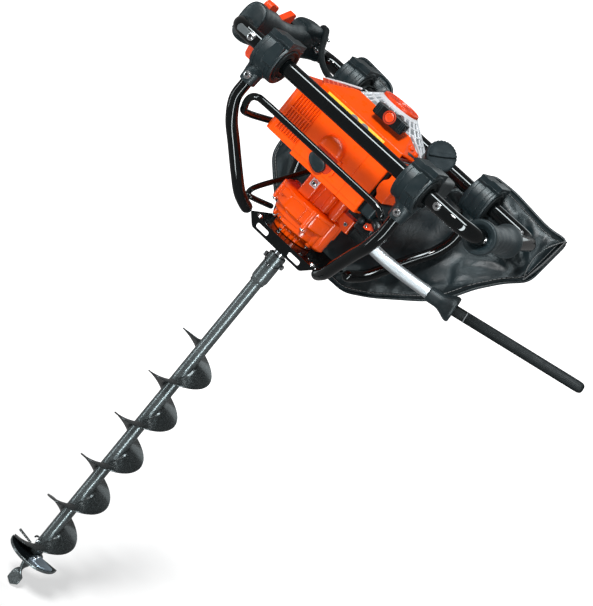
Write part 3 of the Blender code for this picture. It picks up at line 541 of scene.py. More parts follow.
def add_camera():
    """The tool stands upright and the camera is rolled, as in a picture of it leaning."""
    target = Vector(CAMERA_TARGET)
    azimuth, elevation, roll, lean = map(math.radians, (CAMERA_TURNED, CAMERA_RAISED, CAMERA_ROLL, TOOL_LEAN))
    back = Vector((math.sin(azimuth) * math.cos(elevation), -math.cos(azimuth) * math.cos(elevation),
                   math.sin(elevation)))
    level = (-back).cross(UP).normalized()
    over = level.cross(-back)
    right = math.cos(roll) * level + math.sin(roll) * over
    up = -math.sin(roll) * level + math.cos(roll) * over
    camera_right = math.cos(lean) * right + math.sin(lean) * up
    camera_up = -math.sin(lean) * right + math.cos(lean) * up
    data = bpy.data.cameras.new("camera")
    data.lens = CAMERA_LENS
    data.clip_end = 60
    camera = bpy.data.objects.new("camera", data)
    rotation = Matrix((camera_right, camera_up, back)).transposed().to_4x4()
    camera.matrix_world = Matrix.Translation(target + back * CAMERA_DISTANCE) @ rotation
    SCENE.collection.objects.link(camera)
    SCENE.camera = camera


def add_softbox(name, place, aim, size, glow, fills):
    """Area light of a given radiance; unless it fills, it only shows as a highlight."""
    data = bpy.data.lights.new(name, "AREA")
    data.shape = "RECTANGLE"
    data.size, data.size_y = size
    data.energy = glow * math.pi * size[0] * size[1]
    data.color = (0.88, 0.975, 1.0)
    lamp = bpy.data.objects.new(name, data)
    lamp.location = place
    lamp.visible_diffuse = fills
    lamp.rotation_euler = (Vector(aim) - Vector(place)).to_track_quat("-Z", "Y").to_euler()
    SCENE.collection.objects.link(lamp)


FLOOR_LEVEL, FLOOR_REACH, FLOOR_GREY = -0.9665, 9.0, 0.52
FLOOR_FADE = (0.34, 1.4)  # the shadow thins out between these distances from the axis
FLOOR_GLOW = (0.5, 0.98)  # the floor's own light at those distances
AMBIENT, BACKDROP = 0.22, 1.3  # the world's light, and its brightness to the camera
SUN_STRENGTH, SUN_SPREAD, SUN_WAY = 3.5, 12, (0.03, 0.72, -0.6)
MIDDLE = (0.05, 0, -0.25)
SOFTBOXES = (("overhead", (0.1, -1.0, 1.8), MIDDLE, (2.6, 0.5), 30, False),
             ("right_strip", (1.65, -1.6, -0.45), (0.05, 0, -0.45), (0.3, 3.4), 28, False),
             ("left_strip", (-1.85, -1.35, -0.45), (0.05, 0, -0.45), (0.16, 3.2), 18, False),
             ("back_fill", (0.4, 2.3, 1.3), MIDDLE, (2.0, 1.4), 1.6, True))


def add_floor():
    """Plain pale floor whose shadow thins out away from the tool."""
    pale = bpy.data.materials.new("floor_pale")
    pale.use_nodes = True
    nodes, links = pale.node_tree.nodes, pale.node_tree.links
    shader = nodes["Principled BSDF"]
    spot, distance, glow = (nodes.new(f"ShaderNode{kind}") for kind in ("TexCoord", "VectorMath", "MapRange"))
    distance.operation = "LENGTH"
    for node, socket, value in ((shader, "Base Color", (FLOOR_GREY, FLOOR_GREY, FLOOR_GREY, 1)),
                                (shader, "Roughness", 0.9), (shader, "Specular IOR Level", 0.1),
                                (shader, "Emission Color", (1, 1, 1, 1)),
                                (glow, "From Min", FLOOR_FADE[0]), (glow, "From Max", FLOOR_FADE[1]),
                                (glow, "To Min", FLOOR_GLOW[0]), (glow, "To Max", FLOOR_GLOW[1])):
        node.inputs[socket].default_value = value
    links.new(spot.outputs["Object"], distance.inputs[0])
    links.new(distance.outputs["Value"], glow.inputs["Value"])
    links.new(glow.outputs["Result"], shader.inputs["Emission Strength"])
    mesh = bpy.data.meshes.new("floor")
    r = FLOOR_REACH
    mesh.from_pydata([(-r, -r, 0), (r, -r, 0), (r, r, 0), (-r, r, 0)], [], [(0, 1, 2, 3)])
    mesh.materials.append(pale)
    floor = bpy.data.objects.new("floor", mesh)
    floor.location.z = FLOOR_LEVEL
    floor.visible_shadow = False
    floor.visible_glossy = False
    SCENE.collection.objects.link(floor)


def add_world():
    """Soft light all round, and a brighter plain backdrop that only the camera sees."""
    world = bpy.data.worlds.new("studio")
    SCENE.world = world
    world.use_nodes = True
    nodes, links = world.node_tree.nodes, world.node_tree.links
    back, plain, path, mix = (nodes["Background"], nodes.new("ShaderNodeBackground"),
                              nodes.new("ShaderNodeLightPath"), nodes.new("ShaderNodeMixShader"))
    for node, strength in ((back, AMBIENT), (plain, BACKDROP)):
        node.inputs["Color"].default_value = (1, 1, 1, 1)
        node.inputs["Strength"].default_value = strength
    links.new(path.outputs["Is Camera Ray"], mix.inputs["Fac"])
    links.new(back.outputs["Background"], mix.inputs[1])
    links.new(plain.outputs["Background"], mix.inputs[2])
    links.new(mix.outputs["Shader"], nodes["World Output"].inputs["Surface"])


def add_stage():
    SCENE.view_settings.view_transform = "Standard"
    add_floor()
    add_world()
    for softbox in SOFTBOXES:
        add_softbox(*softbox)
    sun = bpy.data.lights.new("key", "SUN")
    sun.energy = SUN_STRENGTH
    sun.angle = math.radians(SUN_SPREAD)
    lamp = bpy.data.objects.new("key", sun)
    lamp.rotation_euler = Vector(SUN_WAY).to_track_quat("-Z", "Y").to_euler()
    SCENE.collection.objects.link(lamp)


# ---------------------------------------------------------------- handle frame

BAR_R = 0.0125
BAR_Y = 0.164
LEG_POINTS = [(0.154, -0.164, -0.036), (0.154, -0.164, -0.058), (0.1535, -0.162, -0.085), (0.1415, -0.1525, -0.114),
              (0.1235, -0.134, -0.142), (0.102, -0.11, -0.176), (0.087, -0.09, -0.2), (0.0765, -0.074, -0.2115),
              (0.071, -0.0655, -0.216)]


def bar_path(side):
    """Centre line of the front (-1) or rear (1) bar: a straight run with both ends bent inwards."""
    bend, left, right, stub = 0.03, -0.213, 0.256, 0.131
    right_bend = bend
    if side < 0:
        bend, left, stub, right_bend = 0.024, -0.225, 0.1285, 0.042
    path = [(left, stub)]
    for step in range(11):
        a = math.radians(9 * step)
        path.append((left + bend - bend * math.cos(a), BAR_Y - bend + bend * math.sin(a)))
    for step in range(11):
        a = math.radians(9 * step)
        path.append((right - right_bend + right_bend * math.sin(a), BAR_Y - right_bend + right_bend * math.cos(a)))
    path.append((right, -0.1305 if side > 0 else BAR_Y - right_bend - 0.002))
    return [(x, y * side, 0.0) for x, y in path]


def leg_path(flip_x, flip_y):
    """Centre line of one leg; the legs lean in towards the gearbox as they go down."""
    points = []
    for x, y, z in LEG_POINTS:
        share = min(max((-0.085 - z) / 0.115, 0.0), 1.0)
        points.append((x * flip_x + (0.01 + 0.0065 * flip_x) * share, y * flip_y, z))
    return smooth_path(points, 6)


COLLAR_SHIFT, COLLAR_SHARE = 0.0022, 0.72  # the profiles are drawn 60 mm long and shortened to the photo's 43 mm


def collar(name, flip_x, flip_y):
    """Clamp housing: drum with a raised half, top strap, tapered neck and its rubber ring."""
    middle = Vector((0.1455 * flip_x, BAR_Y * flip_y, 0))
    drum = [(0.027, -0.029), (0.0305, -0.03), (0.0318, -0.0296), (0.0326, -0.0286), (0.0329, -0.027),
            (0.0329, -0.0205), (0.0322, -0.02), (0.0322, -0.0192), (0.0329, -0.0187), (0.0329, -0.003),
            (0.0339, -0.0018), (0.0341, 0.0), (0.0341, 0.0125), (0.0333, 0.0131), (0.0333, 0.0143),
            (0.0341, 0.0149), (0.0341, 0.0215), (0.0334, 0.0221), (0.0334, 0.0229), (0.0341, 0.0235),
            (0.0339, 0.027), (0.0328, 0.0293), (0.031, 0.03), (0.029, 0.0296), (0.027, 0.027)]
    drum = [(r, COLLAR_SHIFT + COLLAR_SHARE * h) for r, h in drum]
    shapes = [lathe(drum, middle, RIGHT, 64, ring=True)]
    x, y = middle.x + COLLAR_SHIFT, middle.y
    strap = [(x - 0.0195, 0.02), (x + 0.0205, 0.02), (x + 0.0205, 0.0372), (x + 0.003, 0.0372),
             (x - 0.002, 0.0352), (x - 0.0195, 0.0352)]
    shapes.append(slab(strap, 0.001, y - 0.025, y + 0.025, "xz", 2))
    lip = [(x - 0.02, 0.0246), (x - 0.003, 0.0246), (x + 0.002, 0.0262), (x + 0.021, 0.0262), (x + 0.021, 0.0284),
           (x + 0.001, 0.0284), (x - 0.004, 0.0268), (x - 0.02, 0.0268)]
    shapes.append(slab(lip, 0.0006, y - 0.0262, y + 0.0262, "xz", 2))
    raised = [(x + 0.001, -0.01), (x + 0.0175, -0.01), (x + 0.0175, 0.024), (x + 0.003, 0.024), (x - 0.003, 0.006)]
    near, far = sorted((y + 0.028 * flip_y, y + 0.035 * flip_y))
    shapes.append(slab(raised, 0.0015, near, far, "xz", 3))
    neck_x = 0.154 * flip_x
    sections = [(-0.02, 0.026, 0.0215, x), (-0.0275, 0.0225, 0.0185, x), (-0.032, 0.0178, 0.016, (x + neck_x) / 2),
                (-0.037, 0.015, 0.0147, neck_x), (-0.044, 0.014, 0.0141, neck_x), (-0.0535, 0.0134, 0.0137, neck_x),
                (-0.0556, 0.0128, 0.0131, neck_x), (-0.0562, 0.0112, 0.0115, neck_x)]
    shapes.append(rings_to_mesh([[(cx + u, y + v, z) for u, v in oval(wide, deep, 40)]
                                 for z, wide, deep, cx in sections]))
    for side in (-1, 1):
        rib = [(neck_x + side * 0.0125, -0.034), (neck_x + side * 0.016, -0.03), (neck_x + side * 0.0136, -0.052)]
        shapes.append(prism(rib, y - 0.002, y + 0.002, "xz"))
    shapes.append(rod(0.0068, 0.01, 0.0149, (neck_x, y, -0.0445), (0, flip_y, 0), 28, 0.0008))
    build(f"{name}_housing", together(*shapes), "charcoal", bevel=0.0007, replaces=[f"{name}_collar"])
    ring = [(0.0129, -0.0285), (0.0268, -0.0285), (0.0268, 0.029), (0.0262, 0.0312), (0.0246, 0.0322), (0.0226, 0.0312),
            (0.021, 0.0292), (0.018, 0.0292), (0.0166, 0.0306), (0.014, 0.0312), (0.0129, 0.0302)]
    ring = [(r, COLLAR_SHIFT + COLLAR_SHARE * h) for r, h in ring]
    build(f"{name}_bush", lathe(ring, middle, RIGHT, 56, ring=True), "black_rubber", replaces=[f"{name}_rubber"])
    return (neck_x, y + 0.0149 * flip_y, -0.0445), (0, flip_y, 0), 0.0046


def make_frame():
    """Bars, collars, legs, guard rods, their screws and the base plate."""
    necks = []
    for side, label in ((-1, "front"), (1, "rear")):
        bar = sweep(bar_path(side), BAR_R, 40)
        build(f"{label}_bar_tube", bar, "gloss_black", replaces=[f"{label}_bar"])
        for flip_x, end in ((-1, "left"), (1, "right")):
            necks.append(collar(f"{label}_{end}", flip_x, side))
            leg = sweep(leg_path(flip_x, side), 0.0095, 28)
            build(f"{label}_{end}_leg_tube", leg, "gloss_black", replaces=[f"{label}_{end}_leg"])
    screws("neck_screws", necks, height=0.0034)
    front = [(0.1375, -0.1745, -0.064), (0.126, -0.176, -0.0585), (0.095, -0.1765, -0.0575), (0.0, -0.1765, -0.0575),
             (-0.1, -0.1765, -0.0575), (-0.122, -0.174, -0.06), (-0.1335, -0.166, -0.07), (-0.1365, -0.154, -0.086),
             (-0.1365, -0.13, -0.096), (-0.136, 0.0, -0.0985), (-0.1365, 0.13, -0.0985), (-0.139, 0.144, -0.0985)]
    build("front_guard", sweep(smooth_path(front, 8), 0.0055, 20), "gloss_black", replaces=["front_guard_rod"])
    lower = [(-0.068, 0.064, -0.132), (-0.084, 0.03, -0.1655), (-0.0965, 0.002, -0.192), (-0.0975, -0.017, -0.2035),
             (-0.09, -0.03, -0.208), (-0.081, -0.022, -0.208), (-0.068, 0.02, -0.2085)]
    build("lower_guard", sweep(smooth_path(lower, 8), 0.0045, 20), "gloss_black", replaces=["lower_guard_rod"])
    face = -BAR_Y - BAR_R + 0.0006
    inner = BAR_Y - BAR_R + 0.0006
    screws("bar_screws", [((-0.1885, face, 0.0005), FRONT, 0.0052), ((0.1925, face, 0.0), FRONT, 0.0046),
                          ((-0.092, inner, 0.002), FRONT, 0.0046), ((0.2325, inner - 0.002, 0.002), FRONT, 0.0046),
                          ((0.2665, -0.131, 0.002), (0.96, -0.28, 0), 0.0044)], height=0.003)
    # A grey lozenge on the front bar's flattened end, a painted highlight.
    plate = [(-0.213, -0.0058), (-0.2155, 0.0), (-0.213, 0.0058), (-0.1935, 0.0052), (-0.191, 0.0035), (-0.191, -0.005)]
    highlight_patch = slab(plate, 0.0022, face - 0.0012, face + 0.006, "xz")
    build("bar_end_plate", highlight_patch, "bar_end_highlight_grey", bevel=0.001)
    make_base_plate()


def make_base_plate():
    """Sheet with two bent-down lips, two slots and the hole for the drive shaft."""
    top, thick, mid_x, half, depth = -0.2145, 0.003, 0.01, 0.0675, 0.065
    sheet = [(mid_x - half, -depth), (mid_x + half, -depth), (mid_x + half, depth), (mid_x - half, depth)]
    flat = slab(sheet, 0.004, top - thick, top)
    drop = top - 0.018
    lip = [(mid_x - half, top), (mid_x - half, top - 0.002), (mid_x - half + 0.016, drop),
           (mid_x + half - 0.016, drop), (mid_x + half, top - 0.002), (mid_x + half, top)]
    lip = rounded_outline(lip, [0.0003, 0.0015, 0.003, 0.003, 0.0015, 0.0003], 3)
    plate = build("plate", flat, "gloss_black", bevel=0.0006, replaces=["base_plate"])
    front = prism(lip, -depth, thick - depth, "xz")
    rear = prism(lip, depth - thick, depth, "xz")
    carve(plate, front, rear, operation="UNION")
    tools = [rod(0.013, -0.25, -0.2, sides=40)]
    for middle in (-0.0255, 0.0425):
        slot = [(middle - 0.0125, top - 0.0145), (middle + 0.0125, top - 0.0145),
                (middle + 0.0125, top - 0.006), (middle - 0.0125, top - 0.006)]
        tools.append(slab(slot, 0.0042, -0.08, -0.05, "xz", 5))
    carve(plate, *tools)
    corners = [((x, y, top), UP, 0.004) for x in (-0.046, 0.068) for y in (-0.052, 0.052)]
    screws("plate_screws", corners, height=0.0028)


# ---------------------------------------------------------------- auger

AUGER_R = 0.0445
PITCH = 0.09
FLIGHT_TOP = -0.437
FLIGHT_ANGLE = math.radians(205)
TUBE_R = 0.0105


def make_flight():
    """Helical strip that thins to its rim, with a weld bead down both of its roots."""
    steps, turns = 72, 5.02
    rings = []
    for step in range(int(turns * steps) + 1):
        turn = step / steps
        angle = FLIGHT_ANGLE - TAU * turn
        z = FLIGHT_TOP - PITCH * turn
        wobble = 0.0004 * math.sin(angle * 3 + turn * 5)
        section = [(0.0098, 0.0022), (0.0128, 0.0006), (0.016, 0.0), (AUGER_R - 0.0012, 0.0),
                   (AUGER_R - 0.0003, -0.0003), (AUGER_R, -0.0012), (AUGER_R - 0.0004, -0.0022),
                   (0.016, -0.0034), (0.0128, -0.004), (0.0098, -0.006)]
        rings.append([(r * math.cos(angle), r * math.sin(angle), z + h + wobble * (r > 0.03)) for r, h in section])
    # The flight strip takes the shaded copy of the hammer paint: painted shade.
    build("flight", rings_to_mesh(rings), "hammertone_shaded", "auger", replaces=["auger_flight"], sharp=50)


def make_cutter():
    """Half disc with its raised rim and the flat blade, its bolts and the broken end of the strip."""
    top, r = -0.8925, AUGER_R * 1.03
    start = FLIGHT_ANGLE - math.radians(8)
    rim = [(r * math.cos(start + math.pi * k / 48), r * math.sin(start + math.pi * k / 48)) for k in range(49)]
    hub = []
    for k in range(17):
        a = start + math.pi + math.radians(90) * (k - 8) / 8 + math.radians(90)
        hub.append((0.016 * math.cos(a), 0.016 * math.sin(a)))
    build("cutter_disc", prism(rim + hub, top - 0.0046, top), "hammertone", "auger", bevel=0.0009, segments=3,
          replaces=["cutter_plate"])
    dark = [(0.975 * x, 0.975 * y) for x, y in rim[1:-1]] + [(0.013, 0.002), (-0.012, -0.003)]
    build("cutter_face", prism(dark, top + 0.0001, top + 0.0005), "charcoal_gloss", "auger")
    blade = [(0.0085, -0.003), (0.0425, -0.0045), (0.044, -0.009), (0.0385, -0.0225), (0.0285, -0.033),
             (0.0095, -0.035)]
    build("blade", slab(blade, 0.0015, top + 0.0006, top + 0.0038, steps=3), "blade_steel", "auger",
          bevel=0.0007, replaces=["cutter_blade"])
    bolts = [((0.0135, -0.0135, top + 0.0036), UP, 0.003), ((0.015, -0.026, top + 0.0036), UP, 0.003),
             ((-0.005, -0.0088, -0.8715), (-0.35, -0.9, 0.15), 0.003)]
    screws("cutter_bolts", bolts, "auger", height=0.0034, washer=False)
    hook = smooth_path([(0.0, -0.008, -0.867), (-0.0055, -0.0125, -0.8635), (-0.011, -0.0125, -0.8645),
                        (-0.013, -0.0115, -0.868)], 5)
    build("strip_hook", sweep(hook, 0.0016, 12), "hammertone_shaded", "auger")
    strip = prism([(-0.0415, -0.012), (-0.04, -0.0185), (-0.012, -0.0155), (-0.012, -0.0105)], -0.8795, -0.8775)
    tilt = Matrix.Rotation(math.radians(7), 3, "Y")
    bmesh.ops.rotate(strip, cent=(-0.027, -0.015, -0.8785), matrix=tilt, verts=strip.verts)
    build("strip_end", strip, "hammertone_shaded", "auger", bevel=0.0006)


def make_tip():
    """Flat point twisted a quarter turn below the cutter, with a round shank."""
    sections = [(-0.8985, 0.008, 0.0026, -60), (-0.915, 0.0085, 0.0024, -36), (-0.923, 0.009, 0.0022, -14),
                (-0.929, 0.0096, 0.0021, 14), (-0.934, 0.0102, 0.0021, 46), (-0.939, 0.0107, 0.0021, 80),
                (-0.943, 0.011, 0.0021, 99), (-0.948, 0.011, 0.0021, 105), (-0.953, 0.011, 0.0021, 106),
                (-0.9562, 0.0105, 0.002, 106), (-0.96, 0.005, 0.0016, 106), (-0.9628, 0.0012, 0.0008, 106)]
    dense = []
    for a, b in zip(sections, sections[1:]):
        for k in range(4):
            dense.append(tuple(p + (q - p) * k / 4 for p, q in zip(a, b)))
    dense.append(sections[-1])
    rings = []
    for z, wide, thick, degrees in dense:
        a = math.radians(degrees - 90)
        along, across = Vector((math.cos(a), math.sin(a), 0)), Vector((-math.sin(a), math.cos(a), 0))
        rings.append([along * wide * u + across * thick * v + UP * z for u, v in oval(1, 1, 20, (0.45, 0.35))])
    build("tip", rings_to_mesh(rings), "hammertone", "auger", replaces=["auger_tip"], sharp=60)


def make_auger():
    """Everything that turns below the gearbox, and the coupling pin with its wire clip."""
    make_flight()
    make_cutter()
    make_tip()
    tube = [(0.0, -0.8925), (TUBE_R, -0.8925), (TUBE_R, -0.306), (0.0, -0.306)]
    build("tube", lathe(tube, sides=56), "hammertone", "auger", replaces=["auger_tube"])
    sleeve = [(0.0104, -0.2518), (0.0128, -0.2518), (0.0139, -0.2524), (0.0142, -0.254), (0.0142, -0.2985),
              (0.0138, -0.301), (0.0126, -0.304), (0.0118, -0.3056), (0.0112, -0.307), (0.0104, -0.307)]
    piece = build("sleeve", lathe(sleeve, sides=64, ring=True), "hammertone", "auger",
                  replaces=["coupling_sleeve"])
    carve(piece, rod(0.0033, -0.03, 0.03, (0, 0, -0.2635), RIGHT, 24))
    seat = [(0.0112, -0.3056), (0.0124, -0.306), (0.0122, -0.3078), (0.0106, -0.309)]
    build("sleeve_weld", lathe(seat, sides=48, ring=True), "hammertone", "auger")
    shaft = [(0.0, -0.2842), (0.01, -0.2842), (0.01, -0.24), (0.0092, -0.2394), (0.0092, -0.2366),
             (0.01, -0.236), (0.01, -0.215), (0.0, -0.215)]
    build("drive_shaft", lathe(shaft, sides=48), "shaft_steel", "auger", replaces=["output_shaft"])
    pin = [(0, -0.0168), (0.002, -0.0168), (0.0028, -0.016), (0.0028, 0.0146), (0.004, 0.0146), (0.0043, 0.015),
           (0.0043, 0.0182), (0.0036, 0.019), (0, 0.019)]
    at = (0, 0, -0.2635)
    wire = []
    for k in range(41):
        a = math.radians(150 + 265 * k / 40)
        wire.append((0.0153 * math.cos(a), 0.0153 * math.sin(a), -0.263 - 0.0085 * math.sin(math.pi * k / 40) ** 2))
    wire = [(-0.0168, 0.004, -0.256), (-0.017, 0.006, -0.26)] + wire
    clip = sweep(smooth_path(wire, 2), 0.0008, 10)
    build("pin", together(lathe(pin, at, RIGHT, 28), clip), "shaft_steel", "coupling_pin", replaces=["coupling_pin"])
    tab = soft_box((-0.02, -0.006, -0.2668), (-0.015, 0.001, -0.2588), 0.001, 2)
    build("clip_tab", tab, "shaft_steel", "coupling_pin")


# ---------------------------------------------------------------- handles and controls

CONTROL_X = -0.2255
HULL_SQUARE = 0.75  # exponent that squares the pod's oval sections


def hull(sections, sides=44):
    """Oval loft along Y through (y, x centre, half width, bottom, top) sections, smoothed between them."""
    first = smooth_path([s[:3] for s in sections], 5)
    second = smooth_path([(s[3], s[4], 0) for s in sections], 5)
    rings = []
    for (y, x, half), (low, high, _) in zip(first, second):
        middle, tall = (low + high) / 2, (high - low) / 2
        rings.append([(x + u, y, middle + v) for u, v in oval(half, tall, sides, (HULL_SQUARE, HULL_SQUARE))])
    return rings_to_mesh(rings)


def key(name, outline, half, body, radius=0.0025):
    """Lever or slider cut from an outline seen from the side, with soft edges."""
    shape = slab(outline, radius, CONTROL_X - half, CONTROL_X + half, "yz")
    return build(name, shape, "orange_key", body, bevel=0.0013, segments=3, replaces=[body])


def make_control_handle():
    """Left pod with its key slots, the three keys, ribs, screws and cable housing."""
    x = CONTROL_X
    sections = [(-0.1305, x + 0.002, 0.0165, -0.021, 0.031), (-0.1275, x, 0.0195, -0.025, 0.0385),
                (-0.118, x, 0.0205, -0.0268, 0.0395), (-0.1, x, 0.0208, -0.0272, 0.0385),
                (-0.085, x, 0.0205, -0.027, 0.0375), (-0.066, x, 0.0196, -0.0262, 0.035),
                (-0.045, x, 0.0188, -0.0258, 0.0305), (-0.01, x, 0.0188, -0.025, 0.029),
                (0.025, x, 0.02, -0.025, 0.033), (0.05, x, 0.0208, -0.0235, 0.0372),
                (0.068, x, 0.02, -0.0225, 0.0368), (0.09, x + 0.002, 0.018, -0.02, 0.031),
                (0.118, x + 0.009, 0.0145, -0.0145, 0.0165), (0.1305, x + 0.0125, 0.0135, -0.0135, 0.0135)]
    body = build("control_pod", hull(sections), "charcoal", replaces=["control_handle"])
    wide = 0.0063
    tools = [box((x - wide, -0.07, -0.05), (x + wide, -0.011, 0.002)),
             box((x - wide, -0.056, 0.01), (x + wide, 0.001, 0.05)),
             box((x - wide - 0.001, -0.114, 0.03), (x + wide + 0.001, -0.07, 0.06))]
    for y in (-0.1225, 0.04):
        tools.append(box((x - 0.04, y - 0.00035, -0.06), (x + 0.04, y + 0.00035, 0.06)))
    core = [(s[0], s[1], s[2] - 0.0008, s[3] + 0.0008, s[4] - 0.0008) for s in sections]
    carve(body, *tools)
    inner = [s for s in core if s[0] < 0.06]
    inner[0] = (-0.1296, *inner[0][1:])
    lining = build("control_core", hull(inner, 36), "charcoal_gloss")
    carve(lining, *[box((x - wide - 0.0012, low, z0), (x + wide + 0.0012, high, z1)) for low, high, z0, z1 in
                    ((-0.071, -0.01, -0.05, 0.003), (-0.057, 0.002, 0.009, 0.05), (-0.115, -0.069, 0.0296, 0.06))])
    ribs = [soft_box((x - 0.0214, -0.119 + 0.0062 * k, -0.018), (x - 0.019, -0.1162 + 0.0062 * k, 0.022), 0.0009, 2)
            for k in range(6)]
    build("pod_ribs", together(*ribs), "charcoal_gloss")
    key("throttle_key", [(-0.018, -0.0135), (-0.022, -0.01), (-0.062, -0.014), (-0.064, -0.024), (-0.056, -0.044),
                         (-0.046, -0.05), (-0.03, -0.046), (-0.022, -0.03), (-0.0165, -0.018)], 0.0056,
        "throttle_trigger", 0.002)
    key("lock_key", [(-0.052, 0.016), (-0.049, 0.0135), (-0.01, 0.0205), (-0.0075, 0.043), (-0.016, 0.0455),
                     (-0.048, 0.0265)], 0.0056, "trigger_lock")
    key("stop_key", [(-0.112, 0.0306), (-0.082, 0.0306), (-0.0825, 0.044), (-0.088, 0.047), (-0.093, 0.045),
                     (-0.104, 0.0488), (-0.1105, 0.044)], 0.0066, "stop_slider", 0.0016)
    places = [((x - 0.0203, -0.093, 0.024), (-1, 0, 0.15)), ((x - 0.019, 0.012, 0.0), LEFT),
              ((x - 0.0198, 0.056, 0.008), LEFT), ((x + 0.0203, -0.09, -0.01), RIGHT)]
    screws("pod_screws", places, radius=0.003, height=0.0018, washer=False)
    hood = hull([(0.04, x + 0.001, 0.015, 0.018, 0.0388), (0.052, x + 0.001, 0.017, 0.014, 0.0428),
                 (0.078, x + 0.004, 0.0172, 0.012, 0.0436), (0.096, x + 0.009, 0.015, 0.012, 0.0405),
                 (0.104, x + 0.012, 0.012, 0.014, 0.034)], 36)
    build("cable_housing", hood, "charcoal")


def make_cable():
    """Throttle cable with its ferrule and nuts, and the thin wire beside it."""
    route = [(-0.216, 0.106, 0.039), (-0.209, 0.099, 0.043), (-0.196, 0.083, 0.033), (-0.178, 0.06, 0.018),
             (-0.158, 0.04, 0.009), (-0.138, 0.023, 0.005), (-0.1215, 0.012, 0.004)]
    path = smooth_path(route, 10)
    build("cable_cover", sweep(path, 0.005, 20), "black_rubber", replaces=["throttle_cable"])
    way = (Vector(route[2]) - Vector(route[1])).normalized()
    nuts = []
    for centre, size in ((Vector((-0.2, 0.0985, 0.033)), 0.0036), (Vector((-0.1985, 0.094, 0.0215)), 0.0034),
                         (Vector((-0.1975, 0.0925, 0.01)), 0.0042)):
        nuts.append(lathe([(0, -0.007), (size * 0.7, -0.007), (size * 0.7, -0.002), (size, -0.0015), (size, 0.0025),
                           (size * 0.6, 0.003), (size * 0.6, 0.007), (0, 0.0075)], centre, RIGHT, 6))
    build("cable_nuts", together(*nuts), "bright_screw", bevel=0.0004)
    gather = lathe([(0, -0.006), (0.0064, -0.006), (0.007, -0.004), (0.007, 0.003), (0.0056, 0.01), (0.005, 0.014),
                    (0, 0.014)], route[0], way, 28)
    build("cable_ferrule", gather, "charcoal_gloss")
    thin = smooth_path([(-0.1975, 0.0925, 0.01), (-0.18, 0.09, 0.006), (-0.158, 0.07, 0.001),
                        (-0.136, 0.038, -0.002), (-0.116, 0.025, -0.006)], 8)
    build("wire_thin", sweep(thin, 0.0017, 12), "black_rubber")


def make_right_grip():
    """Rubber grip turned round the bars' right end."""
    start = (0.256, -0.13, 0)
    profile = [(0.0128, 0.006), (0.015, 0.005), (0.0175, 0.002), (0.02, 0.0004), (0.024, 0.0004), (0.0258, 0.002),
               (0.0264, 0.005), (0.0262, 0.0098), (0.025, 0.0125), (0.0228, 0.015), (0.0212, 0.019), (0.0205, 0.028),
               (0.02, 0.045), (0.0199, 0.07), (0.0203, 0.095), (0.021, 0.118), (0.0219, 0.126), (0.0236, 0.1325),
               (0.0252, 0.1372), (0.0259, 0.142), (0.0252, 0.1458), (0.0236, 0.1469), (0.019, 0.1469), (0.0128, 0.1455)]
    build("right_grip_cover", lathe(profile, start, BACK, 64, ring=True), "grip_rubber", replaces=["right_grip"])
    beads = [lathe([(0.0196, h - 0.0008), (0.0207, h), (0.0196, h + 0.0008)], start, BACK, 48, ring=True)
             for h in (0.036, 0.108)]
    build("grip_beads", together(*beads), "grip_rubber")


ARM_POINTS = [(0.0695, 0.0, -0.1415), (0.1, 0.009, -0.145), (0.135, 0.02, -0.147), (0.175, 0.031, -0.1455),
              (0.211, 0.04, -0.1427)]
GRIP_START = Vector((0.256, 0.0505, -0.1375))
GRIP_END = Vector((0.4814, 0.1, -0.1005))


def make_brace_arm():
    """Sleeve, aluminium tube, cone flange and fluted grip bar."""
    path = smooth_path(ARM_POINTS, 8)
    build("brace_arm_tube", sweep(path, 0.0098, 40, False), "tube_aluminium", replaces=["brace_tube"])
    sleeve = smooth_path([(0.0665, -0.0008, -0.1411), *ARM_POINTS[:2], (0.104, 0.0103, -0.1453)], 6)
    sleeve = sweep(sleeve, lambda t: 0.0128 + 0.001 * (t < 0.18) - 0.0012 * max(t - 0.7, 0) / 0.3, 36, False)
    build("brace_sleeve", sleeve, "black_rubber")
    way = (GRIP_END - GRIP_START).normalized()
    start = Vector(ARM_POINTS[-1])
    reach = (GRIP_START - start).length
    cone = [(0.0, -0.001), (0.0108, -0.001), (0.012, 0.0002), (0.0124, 0.002), (0.0124, reach * 0.36),
            (0.0128, reach * 0.46), (0.0152, reach * 0.6), (0.0186, reach * 0.74), (0.0208, reach * 0.84),
            (0.0216, reach * 0.9), (0.0214, reach * 0.96), (0.0202, reach), (0.018, reach * 1.01), (0, reach * 1.01)]
    length = (GRIP_END - GRIP_START).length
    build("brace_flange", lathe(cone, start, (GRIP_START - start).normalized(), 64), "grip_rubber",
          replaces=["brace_grip"])
    profile = [(0.009, 0.0), (0.009, 0.0215), (0.0086, 0.0222), (0.0086, 0.024), (0.009, 0.0247),
               (0.009, length - 0.016), (0.0087, length - 0.0095), (0.0078, length - 0.0065), (0.0062, length - 0.0044),
               (0.004, length - 0.0034), (0.0012, length - 0.0031)]
    rings = []
    for radius, height in profile:
        flute = 0.00045 if 0.01 < height < length - 0.012 else 0.0002
        rings.append(notched(lambda k: radius - flute * (k % 4 == 0), height, 96))
    foot = GRIP_START - 0.003 * way
    build("brace_handle", aimed(rings_to_mesh(rings), foot, way), "black_rubber", sharp=60)
    band = [(0.0084, 0.0224), (0.0093, 0.0224), (0.0093, 0.0238), (0.0084, 0.0238)]
    build("brace_band", lathe(band, foot, way, 48, ring=True), "window_grey")


# ---------------------------------------------------------------- engine

def slats(low, high, count=34, thick=0.4):
    """Stack of flat bars that fills a box; thick is the share of each pitch that is solid."""
    pitch = (high[2] - low[2]) / count
    return together(*[box((*low[:2], low[2] + pitch * (k + 0.5 - thick / 2)),
                          (*high[:2], low[2] + pitch * (k + 0.5 + thick / 2))) for k in range(count)])


